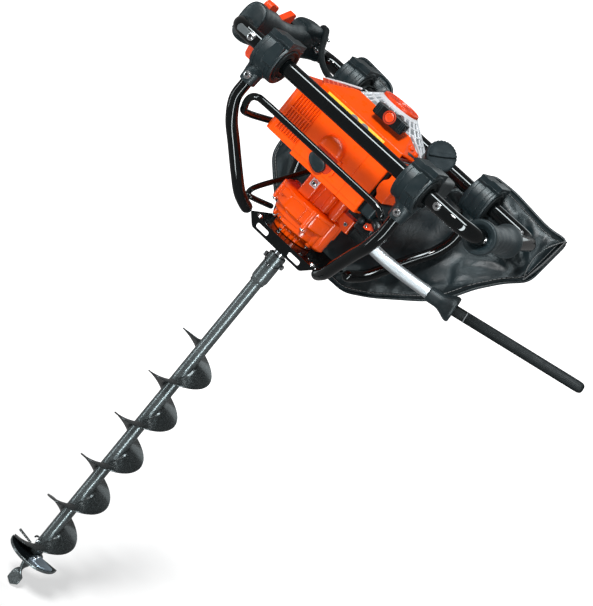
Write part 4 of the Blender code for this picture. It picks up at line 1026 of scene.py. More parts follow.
def make_shroud():
    """Hollow engine cover with its plug hood, boot, screws and plain decal."""
    outer = [(-0.058, -0.094), (0.078, -0.094), (0.078, 0.082), (0.064, 0.088), (-0.05, 0.088), (-0.058, 0.082)]
    body = build("shroud", slab(outer, [0.001, 0.005, 0.006, 0.006, 0.006, 0.004], -0.104, 0.0), "orange_shell",
                 bevel=0.0014, segments=3, replaces=["engine_shroud"])
    cavity = [(-0.055, -0.091), (0.075, -0.091), (0.075, 0.08), (0.062, 0.085), (-0.048, 0.085), (-0.055, 0.08)]
    tools = [prism(cavity, -0.101, 0.01), rod(0.0434, -0.12, -0.09, sides=48),
             box((0.04, -0.096, -0.11), (0.0409, -0.0932, 0.01)),
             box((-0.07, -0.096, -0.0966), (0.09, -0.0934, -0.0958))]
    for k in range(5):
        tools.append(soft_box((-0.03 + 0.014 * k, 0.08, -0.08), (-0.022 + 0.014 * k, 0.095, -0.03), 0.002, 2))
    carve(body, *tools)
    hood = []
    for share, rise in ((1.0, -0.001), (0.97, 0.0035), (0.9, 0.007), (0.78, 0.0098), (0.6, 0.0115), (0.35, 0.0122),
                        (0.05, 0.0122)):
        ring = []
        for k in range(33):
            a = math.radians(-12 + 204 * k / 32)
            r = 0.0225 * share
            ring.append((-0.0098 + r * math.cos(a), -0.094 - rise, -0.057 + r * math.sin(a)))
        hood.append(ring)
    build("plug_hood", rings_to_mesh(hood), "orange_shell", bevel=0.0008)
    arch = [(-0.03, -0.064), (-0.03, -0.08), (-0.024, -0.09), (0.006, -0.0925), (0.0105, -0.086), (0.0105, -0.064)]
    # The recess below the hood is a slab of darker orange, painted shade.
    build("plug_recess", slab(arch, 0.004, -0.0952, -0.0935, "xz"), "orange_painted_shade", bevel=0.0005)
    rim = [(0.017, -0.0612), (0.012, -0.062), (0.012, -0.088), (0.017, -0.0875)]
    build("plug_rim", slab(rim, 0.002, -0.0972, -0.0935, "xz", 3), "orange_shell", bevel=0.0008)
    boot, lean = [], math.radians(-26)
    for share, rise in ((0.93, 0.0), (1.0, 0.002), (1.0, 0.0052), (0.95, 0.0068), (0.84, 0.0076), (0.5, 0.008),
                        (0.02, 0.008)):
        boot.append([(-0.0142 + u * math.cos(lean) - v * math.sin(lean), -0.0938 - rise,
                      -0.0842 + u * math.sin(lean) + v * math.cos(lean))
                     for u, v in oval(0.017 * share, 0.0112 * share, 48, (0.78, 0.78))])
    build("plug_boot", rings_to_mesh(boot), "charcoal", replaces=["plug_cover"])
    places = [((x, 0.0882, z), BACK) for z in (-0.015, -0.092) for x in (0.055, -0.044)]
    screws("shroud_screws", places, radius=0.003)
    strip = soft_box((-0.069, -0.0968, -0.008), (0.047, -0.095, 0.0055), 0.0005, 2)
    build("front_decal", strip, "decal_yellow")
    ovals = [lathe([(0, 0), (0.0072, 0), (0.0072, 0.0003), (0, 0.0003)], (x, -0.0967, 0.001), FRONT, 32)
             for x in (-0.012, 0.009)]
    for disc in ovals:
        bmesh.ops.scale(disc, vec=(1.0, 1.0, 0.62), verts=disc.verts, space=Matrix.Translation((0, 0, -0.001)))
    build("decal_ovals", together(*ovals), "window_grey")


def make_muffler_cover():
    """Left cover with a louvred window in its front and in its left face."""
    far, near, front, back, low, high = -0.118, -0.0583, -0.092, 0.058, -0.099, -0.001
    outline = rounded_outline([(far, front), (near, front), (near, back), (far, back)], [0.013, 0.001, 0.001, 0.012], 6)
    body = build("muffler_shell", prism(outline, low, high), "orange_shell", bevel=0.0045, segments=4,
                 replaces=["muffler_cover"])

    def windows(shape, start, end):
        """The front and the left louvre, each as a shape between two depths behind its face."""
        return [shape((-0.1035, front + start, -0.089), (-0.06, front + end, -0.0105)),
                shape((far + start, -0.072, -0.089), (far + end, 0.044, -0.0105))]

    carve(body, box((-0.1035, -0.1, -0.089), (-0.06, front + 0.0022, -0.0105)),
          box((-0.13, -0.072, -0.089), (far + 0.0022, 0.044, -0.0105)))
    build("muffler_hatch", together(*windows(slats, 0.0004, 0.003)), "orange_shell")
    build("muffler_shadow", together(*windows(box, 0.0021, 0.0032)), "orange_painted_shade")
    ribs = []
    for k in range(9):
        x = -0.1025 + 0.0051 * k
        ribs.append(soft_box((x - 0.001, front - 0.0008, -0.0895), (x + 0.001, front + 0.003, -0.01), 0.0006, 2))
    for k in range(12):
        y = -0.07 + 0.0098 * k
        ribs.append(soft_box((far - 0.0007, y - 0.0014, -0.0895), (far + 0.003, y + 0.0014, -0.01), 0.0006, 2))
    ribs.append(soft_box((-0.104, front - 0.0012, -0.0513), (-0.059, front + 0.003, -0.0487), 0.0006, 2))
    ribs.append(soft_box((far - 0.001, -0.073, -0.0513), (far + 0.003, 0.045, -0.0487), 0.0006, 2))
    build("muffler_ribs", together(*ribs), "orange_shell")
    # The exhaust outlet is a dark metal slab, painted shade.
    outlet = [(-0.047, -0.0725), (0.017, -0.0725), (0.017, -0.06), (-0.047, -0.06)]
    build("exhaust_mouth", slab(outlet, 0.004, far - 0.0018, far + 0.0026, "yz"), "socket_shade", bevel=0.0008)
    screws("muffler_screws", [((far, y, -0.095), LEFT) for y in (-0.06, 0.038)], radius=0.0026, height=0.0018)


def make_filter_side():
    """Filter cover on the right, with its base, its knob and dark slabs of painted shade in the gap beside it."""
    front = -0.092
    shell = [(0.0865, -0.001), (0.103, -0.001), (0.103, -0.0665), (0.088, -0.0665), (0.0872, -0.0605),
             (0.0815, -0.0555), (0.08, -0.047), (0.0815, -0.038), (0.0868, -0.033)]
    build("filter_shell", slab(shell, 0.0022, front, 0.05, "xz"), "orange_shell", bevel=0.0012, segments=3,
          replaces=["filter_cover"])
    build("filter_base", soft_box((0.079, -0.0885, -0.0985), (0.1022, 0.05, -0.0675), 0.004), "charcoal")
    # Dark slabs fill the gap between the shroud and the filter cover: painted shade.
    gap = [soft_box((0.0781, -0.09, -0.0985), (0.083, 0.046, -0.002), 0.0012, 2)]
    gap += [soft_box((0.0786 + 0.0018 * k, -0.0912, -0.096), (0.0794 + 0.0018 * k, -0.088, -0.004), 0.0003, 1)
            for k in range(2)]
    build("filter_gap_shade", together(*gap), "charcoal_gloss")
    knob = [(0, 0.0), (0.0125, 0.0), (0.013, 0.001), (0.013, 0.006), (0.0118, 0.0075), (0, 0.008)]
    build("filter_knob", lathe(knob, (0.1025, -0.01, -0.034), RIGHT, 12), "charcoal", bevel=0.0008)


APRON = [(-0.116, -0.03, 0.0045), (-0.085, -0.0935, 0.009), (0.08, -0.0935, 0.009), (0.104, -0.045, 0.006),
         (-0.045, -0.062, 0.032), (0.062, -0.062, 0.031)]


def make_apron():
    """Faceted front shield; on its left facet a grille and on its right one two slots, both painted as dark shade."""
    corners = [Vector(c) for c in APRON]
    bm = bmesh.new()
    lift = Vector((0, 0.0024, -0.0028))
    outer = [bm.verts.new(c) for c in corners]
    inner = [bm.verts.new(c + lift) for c in corners]
    for facet in ((0, 1, 4), (1, 2, 5, 4), (2, 3, 5)):
        bm.faces.new([outer[k] for k in facet])
        bm.faces.new([inner[k] for k in reversed(facet)])
    rim = (0, 1, 2, 3, 5, 4)
    for k, corner in enumerate(rim):
        after = rim[(k + 1) % 6]
        bm.faces.new([outer[corner], outer[after], inner[after], inner[corner]])
    build("apron", bm, "orange_shell", bevel=0.0016, segments=3, replaces=["front_apron"])
    fringe = soft_box((-0.085, -0.0956, -0.013), (0.08, -0.0915, 0.0098), 0.0014)
    build("apron_fringe", fringe, "orange_shell")
    facet_marks("apron_grille", corners[0], corners[1], corners[4], "orange_painted_shade", 9, 7, 0.62)
    a, b, c = corners[2], corners[3], corners[5]
    _, _, normal, turn = facet_axes(a, b, c)
    slots = []
    for u, v in ((0.3, 0.2), (0.58, 0.16)):
        place = a + (b - a) * u + (c - a) * v + normal * 0.0002
        slot = soft_box((-0.007, -0.0024, -0.001), (0.007, 0.0024, 0.0006), 0.0006, 2)
        slots.append(moved(slot, Matrix.Translation(place), turn))
    # The two slots are near-black patches, painted shade.
    build("apron_slots", together(*slots), "slot_shade_dark")
    lumps = [lathe([(0.0046, 0), (0.0046, 0.0022), (0.0036, 0.003), (0, 0.003)][::-1] + [(0, -0.001)],
                   a + (b - a) * u + (c - a) * v, normal, 24) for u, v in ((0.46, 0.34), (0.2, 0.52))]
    build("apron_lumps", together(*lumps), "orange_shell")


def facet_marks(name, a, b, c, material, columns, rows, fill):
    """Grid of small dark plugs on a triangular facet, painted shade standing for openings."""
    along, up, _, turn = facet_axes(a, b, c)
    width = (b - a).length
    apex = (c - a).dot(along)
    height = (c - a).dot(up)
    shapes = []
    for i in range(columns):
        for j in range(rows):
            u = width * (i + 0.5) / columns
            v = height * (j + 0.5) / rows * 0.86 + height * 0.03
            left, right = apex * v / height, width + (apex - width) * v / height
            if not left + 0.005 < u < right - 0.005:
                continue
            half_u, half_v = width / columns * fill / 2, height * 0.86 / rows * fill / 2
            plug = box((-half_u, -half_v, -0.001), (half_u, half_v, 0.0003))
            shapes.append(moved(plug, Matrix.Translation(a + along * u + up * v), turn))
    build(name, together(*shapes), material)


CONE_DROP, CONE_RUN = 0.0405, 0.053  # the starter cover's cone falls this far over this much radius


def cone_height(radius):
    """Height of the starter cover's cone at a radius."""
    return 0.0465 - (radius - 0.032) * (CONE_DROP / CONE_RUN)


def make_starter():
    """Lattice cone over a pale core, with its wings, slots and orange disc."""
    inner = [(0.0, 0.044), (0.03, 0.044)] + [(r, cone_height(r) - 0.0022) for r in (0.034, 0.05, 0.066, 0.08)]
    inner += [(0.0825, 0.004), (0.0825, 0.0022), (0.0, 0.0022)]
    build("cover_core", lathe(inner, sides=72), "window_grey", replaces=["starter_cover"])
    rings = [(0.0325, 0.0375), (0.045, 0.047), (0.0545, 0.0562), (0.0635, 0.0652), (0.073, 0.0795)]
    shapes = []
    for a, b in rings:
        shapes.append(lathe([(a, cone_height(a) - 0.003), (a, cone_height(a)), (b, cone_height(b)),
                             (b, cone_height(b) - 0.003)], sides=96, ring=True))
    skirt = [(0.079, cone_height(0.079) - 0.002), (0.079, cone_height(0.079) + 0.0002), (0.0838, 0.0072),
             (0.085, 0.0056), (0.085, 0.0022), (0.0815, 0.0022)]
    shapes.append(lathe(skirt, sides=96, ring=True))
    for k in range(24):
        bar = soft_box((0.0, -0.0011, -0.0026), (0.054, 0.0011, 0.0003), 0.0005, 1)
        tilt = Matrix.Rotation(math.atan2(CONE_DROP, CONE_RUN), 4, "Y")
        shapes.append(moved(bar, spun(TAU * k / 24), Matrix.Translation((0.034, 0, cone_height(0.034))), tilt))
    build("cover_lattice", together(*shapes), "cover_white")
    wing = []
    for a, b in (((-0.107, -0.036, 0.0075), (-0.046, -0.059, 0.0345)),
                 ((0.1, -0.044, 0.0085), (0.063, -0.059, 0.0335))):
        a, b = Vector(a), Vector(b)
        wing.append(sweep([a, a.lerp(b, 0.5) + Vector((0, 0.002, 0.0006)), b], 0.0019, 12))
    build("cover_wings", together(*wing), "cover_white")
    slots = []
    for k in range(4):
        slot = soft_box((0.0745, -0.0044, -0.001), (0.079, 0.0044, 0.0006), 0.0005, 1)
        place = Matrix.Translation((0, 0, cone_height(0.0765)))
        slots.append(moved(slot, place, spun(math.radians(-52 + 13 * k))))
    # The slots are near-black patches, painted shade.
    build("cover_slots", together(*slots), "slot_shade_dark")
    disc = [(0.0, 0.044), (0.0318, 0.044), (0.0323, 0.047), (0.0318, 0.05), (0.0304, 0.0509), (0.029, 0.0505),
            (0.0284, 0.0496)]
    for k in range(7):
        r = 0.0265 - 0.0034 * k
        disc += [(r + 0.0009, 0.0496), (r + 0.0005, 0.0502), (r - 0.0005, 0.0502), (r - 0.0009, 0.0496)]
    disc.append((0.0, 0.0497))
    build("cover_disc", lathe(disc, sides=72), "orange_key")
    # The spokes take the darker orange, painted shade.
    spokes = [moved(soft_box((0.008, -0.0005, 0.049), (0.0275, 0.0005, 0.0503), 0.0003, 1), spun(TAU * k / 30))
              for k in range(30)]
    build("cover_disc_spokes", together(*spokes), "orange_painted_shade")
    make_pull_handle()


def make_pull_handle():
    """Starter handle, its grommet and the rope between them."""
    guide, centre = Vector((0.024, -0.041, 0.036)), Vector((0.029, -0.0875, 0.0355))
    way = (centre - guide).normalized()
    outline = [(-0.029, -0.0092), (-0.024, -0.01), (0.024, -0.01), (0.029, -0.0092), (0.029, 0.009),
               (0.0235, 0.0098), (-0.0235, 0.0098), (-0.029, 0.009)]
    bar = prism([(x + centre.x, z + centre.z) for x, z in rounded_outline(outline, 0.0025, 4)],
                centre.y - 0.0066, centre.y + 0.0066, "xz")
    build("pull_bar", bar, "charcoal_gloss", "pull_handle", bevel=0.0018, segments=3, replaces=["pull_handle"])
    ribs = [soft_box((centre.x + s * x - 0.0009, centre.y - 0.0074, centre.z - 0.0084),
                     (centre.x + s * x + 0.0009, centre.y - 0.0058, centre.z + 0.0084), 0.0005, 2)
            for s in (-1, 1) for x in (0.0255, 0.0225, 0.0195)]
    build("pull_ribs", together(*ribs), "charcoal", "pull_handle")
    face = centre + Vector((-0.0005, -0.0064, 0.0004))
    ring = [(0.0082, 0.0), (0.0104, 0.0), (0.0104, 0.0011), (0.0098, 0.0016), (0.0086, 0.0014), (0.0082, 0.0008)]
    # The ring round the cap is darker orange, painted shade.
    build("pull_ring", lathe(ring, face, FRONT, 40, ring=True), "orange_painted_shade", "pull_handle")
    cap = [(0, 0), (0.0074, 0), (0.0074, 0.0012), (0.0068, 0.0018), (0.0052, 0.002), (0.0046, 0.0013),
           (0.0022, 0.0013), (0.0018, 0.0018), (0, 0.0018)]
    build("pull_cap", lathe(cap, face, FRONT, 40), "orange_key", "pull_handle")
    grommet = [(0.003, 0.01), (0.0058, 0.01), (0.0066, 0.009), (0.0066, -0.006), (0.003, -0.006)]
    build("rope_grommet", lathe(grommet, guide, way, 32, ring=True), "charcoal_gloss")
    path = [guide + (centre - guide) * (k / 40) for k in range(41)]
    rope = sweep(path, lambda t: 0.0019 + 0.00018 * math.sin(t * 60), 14)
    rope = build("starter_rope", rope, "cover_white", body=None)
    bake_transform(rope)


def make_fuel():
    """Tank with its seam and neck, and the knurled cap."""
    build("tank", soft_box((0.106, -0.098, -0.046), (0.1385, 0.03, 0.012), 0.007, 4), "tank_milk",
          replaces=["fuel_tank"])
    seam = soft_box((0.1056, -0.0984, -0.0165), (0.1389, 0.0304, -0.0145), 0.0008, 2)
    axis = Vector((0.35, -0.8, 0.5)).normalized()
    centre = Vector((0.119, -0.068, 0.0405))
    neck = [(0, -0.044), (0.018, -0.044), (0.018, -0.0085), (0.0196, -0.008), (0.0196, -0.0072), (0, -0.0072)]
    build("tank_seam", together(seam, lathe(neck, centre, axis, 48)), "tank_milk", bevel=0.0004)
    rings = [[(0, 0, -0.0064)]]
    for radius, height, notch in ((0.0226, -0.0064, 0), (0.0236, -0.0054, 1), (0.024, -0.004, 1),
                                  (0.024, 0.0018, 1), (0.0236, 0.0034, 1), (0.0226, 0.0044, 0),
                                  (0.0208, 0.005, 0), (0.0202, 0.0046, 0), (0.012, 0.005, 0)):
        rings.append(notched(lambda k: radius - 0.0007 * notch * (k % 4 < 2), height, 112))
    rings.append([(0, 0, 0.0052)])
    build("cap_disc", aimed(rings_to_mesh(rings), centre, axis), "cap_slate", "fuel_cap", replaces=["fuel_cap"])
    outline = rounded_outline([(-0.0208, -0.0015), (-0.0208, 0.0015), (-0.006, 0.0027), (0.006, 0.0027),
                               (0.0208, 0.0015), (0.0208, -0.0015), (0.006, -0.0027), (-0.006, -0.0027)], 0.0012, 3)
    ridge = aimed(prism(outline, 0.004, 0.0086), centre, axis, math.radians(-124))
    build("cap_ridge", ridge, "cap_slate", "fuel_cap", bevel=0.0008, segments=3)


def make_carburettor():
    """Intake block, choke key, primer bulb, fuel fittings and hose."""
    body = build("intake_block", soft_box((0.079, -0.06, -0.128), (0.11, 0.02, -0.1005), 0.004), "charcoal_gloss",
                 replaces=["carburettor"])
    carve(body, rod(0.0068, 0.054, 0.07, (0.086, 0, -0.11), FRONT, 28))
    ribs = slats((0.099, -0.0612, -0.1265), (0.1096, -0.059, -0.118), 4)
    elbow = smooth_path([(0.092, -0.052, -0.094), (0.104, -0.066, -0.096), (0.118, -0.074, -0.1005),
                         (0.129, -0.066, -0.108)], 6)
    build("intake_ribs", together(ribs, sweep(elbow, 0.0078, 24)), "charcoal_gloss")
    lever = [(0.0945, -0.1165), (0.101, -0.1165), (0.118, -0.1065), (0.1205, -0.0985), (0.115, -0.0985),
             (0.0945, -0.108)]
    build("choke_key", slab(lever, 0.0018, -0.0648, -0.0606, "xz"), "orange_key", "choke_lever",
          bevel=0.0009, segments=3, replaces=["choke_lever"])
    screws("choke_pivot", [((0.098, -0.0648, -0.112), FRONT, 0.0024)], "choke_lever", height=0.0014, washer=False)
    bulb = [(0, 0.0606), (0.006, 0.0606), (0.0062, 0.0615), (0.006, 0.0632), (0.0053, 0.0652), (0.004, 0.0668),
            (0.0022, 0.0677), (0, 0.068)]
    build("bulb", lathe(bulb, (0.086, 0, -0.11), FRONT, 32), "grip_rubber", "primer_bulb", replaces=["primer_bulb"])
    brass = []
    for at, axis, r, length in (((0.0665, -0.06, -0.1035), RIGHT, 0.0036, 0.01),
                                ((0.07, -0.064, -0.1055), FRONT, 0.0028, 0.006),
                                ((0.056, -0.061, -0.1055), FRONT, 0.003, 0.005)):
        brass.append(lathe([(0, 0), (r * 1.35, 0), (r * 1.35, length * 0.35), (r, length * 0.4), (r, length * 0.9),
                            (r * 0.7, length), (0, length)], at, axis, 6))
    build("fuel_fittings", together(*brass), "brass_fitting", bevel=0.0004)
    hose = smooth_path([(0.077, -0.06, -0.1035), (0.086, -0.064, -0.101), (0.097, -0.07, -0.1),
                        (0.11, -0.076, -0.09), (0.118, -0.078, -0.07), (0.12, -0.078, -0.044)], 8)
    build("fuel_hose", sweep(hose, 0.0021, 14), "black_rubber")
    nuts = [((0.0473, -0.06, -0.104), FRONT, 0.0028), ((0.0425, -0.028, -0.1085), UP, 0.003)]
    screws("fitting_screws", nuts, height=0.003)


CASE_AXIS, FOOT_AXIS = Vector((-0.008, 0, 0)), Vector((-0.004, 0, 0))
# Bolt columns of the two lower castings: angle in degrees, distance from the casting's axis, low end, radius.
CASE_COLUMNS = ((-152, 0.0545, -0.183, 0.005), (-62, 0.0545, -0.185, 0.005), (15, 0.053, -0.18, 0.0052),
                (62, 0.053, -0.18, 0.0052), (110, 0.053, -0.18, 0.0052), (160, 0.053, -0.18, 0.0052))
FOOT_COLUMNS = ((-146, 0.043, -0.203, 0.0048), (-128, 0.0425, -0.196, 0.0046), (-116, 0.0425, -0.196, 0.0046),
                (-106, 0.0345, -0.2105, 0.0056), (-30, 0.0425, -0.206, 0.0052), (10, 0.042, -0.2025, 0.0052),
                (60, 0.042, -0.2025, 0.0052), (110, 0.042, -0.2025, 0.0052), (155, 0.042, -0.2025, 0.0052))


def ribs_round(angles, low, high, radius, at=(0, 0, 0)):
    """Soft boxes turned round a vertical axis, one at each angle in degrees."""
    return [moved(soft_box(low, high, radius, 2), Matrix.Translation(at), spun(math.radians(a))) for a in angles]


def make_clutch_case():
    """Upper casting under the engine, with its fins, its pad and the lug that holds the brace arm."""
    shell = [(0.008, -0.148), (0.0385, -0.148), (0.038, -0.102), (0.037, -0.0995), (0.035, -0.0985),
             (0.0335, -0.099), (0.0335, -0.144), (0.008, -0.144)]
    shapes = [lathe(shell, (-0.0025, 0, 0), sides=72, ring=True)]
    shapes += ribs_round((-88, -10, 30, 75, 100, 140, 165, -168), (0.034, -0.0022, -0.148), (0.0395, 0.0022, -0.106),
                         0.0012)
    shapes.append(soft_box((-0.0285, -0.0452, -0.1485), (-0.005, -0.033, -0.106), 0.003))
    lug = [(0.034, -0.013), (0.066, -0.013), (0.066, 0.013), (0.034, 0.013)]
    shapes.append(slab(lug, [0.001, 0.006, 0.006, 0.001], -0.153, -0.13, steps=5))
    for degrees, reach, low, high, r in ((-30, 0.0385, -0.15, -0.111, 0.0085), (-58, 0.035, -0.149, -0.116, 0.0062),
                                         (120, 0.039, -0.149, -0.112, 0.007), (55, 0.039, -0.149, -0.112, 0.007)):
        shapes.append(rod(r, low, high, polar(degrees, reach), round_by=0.0015))
    build("clutch_case", together(*shapes), "orange_cast", bevel=0.001, segments=3, replaces=["clutch_housing"])


def make_gear_casing():
    """Middle casting, widest at its flange."""
    case = [(0.044, -0.1912), (0.0476, -0.1912), (0.048, -0.184), (0.0486, -0.1815), (0.054, -0.18),
            (0.0556, -0.178), (0.056, -0.161), (0.0552, -0.158), (0.0566, -0.1568), (0.057, -0.155),
            (0.0566, -0.152), (0.0545, -0.1505), (0.048, -0.1498), (0.046, -0.1488), (0.01, -0.1488),
            (0.01, -0.152), (0.048, -0.152), (0.048, -0.174), (0.044, -0.178)]
    shapes = [lathe(case, CASE_AXIS, sides=96, ring=True)]
    for degrees, reach, low, r in CASE_COLUMNS:
        shapes.append(rod(r, low, -0.15, CASE_AXIS + polar(degrees, reach), round_by=0.0012))
    shapes.append(rod(0.015, -0.204, -0.149, (0.037, -0.008, 0), round_by=0.003))
    shapes.append(soft_box((-0.01, -0.027, -0.203), (0.04, 0.012, -0.15), 0.004, 3))
    shapes.append(soft_box((-0.044, -0.052, -0.166), (-0.01, -0.047, -0.154), 0.002))
    for degrees, low in ((-140, -0.176), (-128, -0.17), (-76, -0.178)):
        shapes += ribs_round([degrees], (0.053, -0.001, low), (0.0572, 0.001, -0.156), 0.0007, CASE_AXIS)
    build("gear_casing", together(*shapes), "orange_cast", bevel=0.0012, segments=3, replaces=["gear_case"])


def make_gear_foot():
    """Lower casting, in two steps, down to the base plate."""
    foot = [(0.0192, -0.2142), (0.035, -0.2142), (0.0358, -0.2132), (0.0362, -0.206), (0.0366, -0.203),
            (0.0376, -0.2014), (0.044, -0.2004), (0.0452, -0.199), (0.0456, -0.1925), (0.0456, -0.1912),
            (0.0192, -0.1912)]
    shapes = [lathe(foot, FOOT_AXIS, sides=80, ring=True)]
    for degrees, reach, low, r in FOOT_COLUMNS:
        shapes.append(rod(r, low, max(low + 0.004, -0.19), FOOT_AXIS + polar(degrees, reach), round_by=0.0012))
    shapes += ribs_round((-92, -78, -66, -52, 35, 85, 135, 180), (0.03, -0.0012, -0.2135), (0.0376, 0.0012, -0.199),
                         0.0008, FOOT_AXIS)
    build("gear_foot", together(*shapes), "orange_cast", bevel=0.0009, segments=3, replaces=["gear_cover"])


def make_gearbox():
    make_clutch_case()
    make_gear_casing()
    make_gear_foot()
    bolts = [(CASE_AXIS + polar(*column[:3]), DOWN, 0.0036) for column in CASE_COLUMNS]
    bolts += [(FOOT_AXIS + polar(*column[:3]), DOWN, 0.0034) for column in FOOT_COLUMNS]
    screws("gearbox_bolts", bolts, height=0.0036, washer=False)
    screws("clutch_bolts", [((0.0333, -0.0192, -0.111), UP, 0.0036), ((0.0185, -0.0297, -0.116), UP, 0.003),
                            ((-0.0195, 0.0338, -0.112), UP, 0.0032), ((0.0224, 0.0319, -0.112), UP, 0.0032),
                            ((0.056, -0.0132, -0.1415), FRONT, 0.0036)], height=0.0032, washer=False)
    plate = soft_box((-0.0198, -0.047, -0.1278), (-0.0066, -0.0448, -0.1146), 0.0006, 2)
    build("pad_plate", plate, "cover_white")
    screws("pad_screw", [((-0.0132, -0.047, -0.1212), FRONT, 0.004)], height=0.0022)


def dress_hidden_nodes():
    """Inner parts keep their CAD shape and get real materials."""
    looks = {"engine_block": "engine_alloy", "piston": "engine_alloy", "flywheel": "engine_alloy",
             "crankshaft": "shaft_steel", "clutch_drum": "shaft_steel", "output_gear": "shaft_steel",
             "layshaft_gear": "shaft_steel", "output_bearing": "shaft_steel", "spark_plug": "shaft_steel",
             "muffler": "shaft_steel", "starter_pulley": "charcoal"}
    for name, look in looks.items():
        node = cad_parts[name]
        node.data.materials.clear()
        node.data.materials.append(MATERIALS[look])


# ---------------------------------------------------------------- hip cushion

CUSHION_OUTLINE = [(-0.19, -0.15), (-0.19, 0.016), (-0.18, 0.034), (-0.106, 0.031), (-0.093, 0.014), (-0.08, -0.016),
                   (0.08, -0.016), (0.108, -0.006), (0.121, 0.033), (0.168, 0.035), (0.243, 0.026), (0.28, 0.031),
                   (0.274, -0.058), (0.247, -0.084), (0.221, -0.12), (0.201, -0.16), (0.176, -0.186), (0.114, -0.234),
                   (0.075, -0.257), (0.03, -0.258), (-0.06, -0.244), (-0.117, -0.228), (-0.14, -0.212), (-0.182, -0.18)]
CUSHION_EDGE = rounded_outline(CUSHION_OUTLINE, 0.014, 4)


def cushion_front(x, z):
    """Front surface: upright behind the bars, leaning forward below them, bowed round the hips."""
    lean = min(max((-0.06 - z) / 0.19, 0.0), 1.0) * 0.066
    return 0.201 - lean + 0.35 * (x - 0.045) ** 2


def cushion_depth(x):
    """How thick the pad is at x."""
    return 0.022 + 0.016 * min(max((x - 0.12) / 0.16, 0.0), 1.0)


def cushion_middle(x, z):
    """Surface half way between the front and the back skin."""
    return cushion_front(x, z) + cushion_depth(x) * 0.5


def inside_distance(x, z, outline):
    """Signed distance to the outline, positive inside."""
    best, crossings = 1e9, 0
    for k in range(len(outline)):
        (ax, az), (bx, bz) = outline[k], outline[(k + 1) % len(outline)]
        dx, dz = bx - ax, bz - az
        t = min(max(((x - ax) * dx + (z - az) * dz) / (dx * dx + dz * dz), 0.0), 1.0)
        best = min(best, math.hypot(x - ax - dx * t, z - az - dz * t))
        if (az > z) != (bz > z) and x < ax + dx * (z - az) / dz:
            crossings += 1
    return best if crossings % 2 else -best


def cushion_skins(step=0.0062):
    """Closed pillow: front and back skins triangulated inside the outline and joined at the rim."""
    dense = []
    for k, (x, z) in enumerate(CUSHION_EDGE):
        nx, nz = CUSHION_EDGE[(k + 1) % len(CUSHION_EDGE)]
        parts = max(int(math.hypot(nx - x, nz - z) / step), 1)
        dense += [Vector((x + (nx - x) * t / parts, z + (nz - z) * t / parts)) for t in range(parts)]
    count = len(dense)
    low_x, low_z = min(p.x for p in dense), min(p.y for p in dense)
    inner = []
    for i in range(int((max(p.x for p in dense) - low_x) / step) + 1):
        for j in range(int((max(p.y for p in dense) - low_z) / step) + 1):
            spot = Vector((low_x + (i + 0.5 * (j % 2)) * step, low_z + j * step))
            if inside_distance(spot.x, spot.y, CUSHION_EDGE) > step * 0.6:
                inner.append(spot)
    rim = [(k, (k + 1) % count) for k in range(count)]
    points, _, faces, _, _, _ = delaunay_2d_cdt(dense + inner, rim, [list(range(count))], 1, 1e-6)
    bm = bmesh.new()
    skins = []
    for side in (-1, 1):
        skin = []
        for x, z in points:
            depth = max(inside_distance(x, z, CUSHION_EDGE), 0.0)
            swell = min(depth / 0.034, 1.0)
            half = cushion_depth(x) * (0.1 + 0.36 * math.sqrt(1 - (1 - swell) ** 2))
            skin.append(bm.verts.new((x, cushion_middle(x, z) + side * half, z)))
        skins.append(skin)
    for face in faces:
        bm.faces.new([skins[0][k] for k in face])
        bm.faces.new([skins[1][k] for k in reversed(face)])
    for edge in [e for e in bm.edges if len(e.link_faces) == 1 and e.verts[0] in set(skins[0])]:
        pair = [skins[0].index(v) for v in edge.verts]
        bm.faces.new([skins[0][pair[0]], skins[0][pair[1]], skins[1][pair[1]], skins[1][pair[0]]])
    loose = [v for v in bm.verts if not v.link_faces]
    bmesh.ops.delete(bm, geom=loose, context="VERTS")
    return bm


def inflate(piece, frames=20, pressure=4.0, cap=0.01):
    """Blow the pillow up with Cloth, cap how far each point moves and keep the result as its mesh."""
    rest = [v.co.copy() for v in piece.data.vertices]
    held = piece.vertex_groups.new(name="rim")
    for vertex in piece.data.vertices:
        edge = inside_distance(vertex.co.x, vertex.co.z, CUSHION_OUTLINE)
        held.add([vertex.index], min(max((0.014 - edge) / 0.01, 0.0), 1.0), "REPLACE")
    cloth = piece.modifiers.new("cloth", "CLOTH")
    for key, value in {"vertex_group_mass": "rim", "quality": 6, "mass": 0.25, "tension_stiffness": 12,
                       "compression_stiffness": 6, "shear_stiffness": 4, "bending_stiffness": 0.6,
                       "use_pressure": True, "uniform_pressure_force": pressure, "shrink_min": -0.045}.items():
        setattr(cloth.settings, key, value)
    cloth.settings.effector_weights.gravity = 0.0
    cloth.collision_settings.use_collision = False
    cloth.point_cache.frame_start = 1
    cloth.point_cache.frame_end = frames
    for number in range(1, frames + 1):
        SCENE.frame_set(number)
    graph = bpy.context.evaluated_depsgraph_get()
    made = bpy.data.meshes.new_from_object(piece.evaluated_get(graph))
    blown = [v.co.copy() for v in made.vertices]
    piece.modifiers.remove(cloth)
    piece.vertex_groups.remove(held)
    SCENE.frame_set(1)
    for vertex, old, new in zip(piece.data.vertices, rest, blown):
        step = new - old
        if step.length > cap:
            step *= cap / step.length
        vertex.co = old + step


def crease(point):
    """Soft folds that fan out from the stitched corner and sag across the lower part, in metres."""
    x, z = point.x, point.z
    pull = Vector((x - 0.262, z + 0.055))
    fan = math.atan2(pull.y, pull.x)
    near = math.exp(-pull.length / 0.16)
    folds = 0.005 * near * math.sin(fan * 15 + 2.0 * noise.noise((x * 9, 0.3, z * 9)))
    drape = Vector((x + 0.03, z + 0.02))
    waves = math.sin(drape.length * 62 + 3 * noise.noise((x * 7, 1.7, z * 7)))
    swags = 0.0032 * math.exp(-((z + 0.12) / 0.09) ** 2) * waves
    broad = 0.005 * noise.noise((x * 11, 4.0, z * 11))
    small = 0.0016 * noise.noise((x * 38, 7.0, z * 30))
    return folds + swags + broad + small


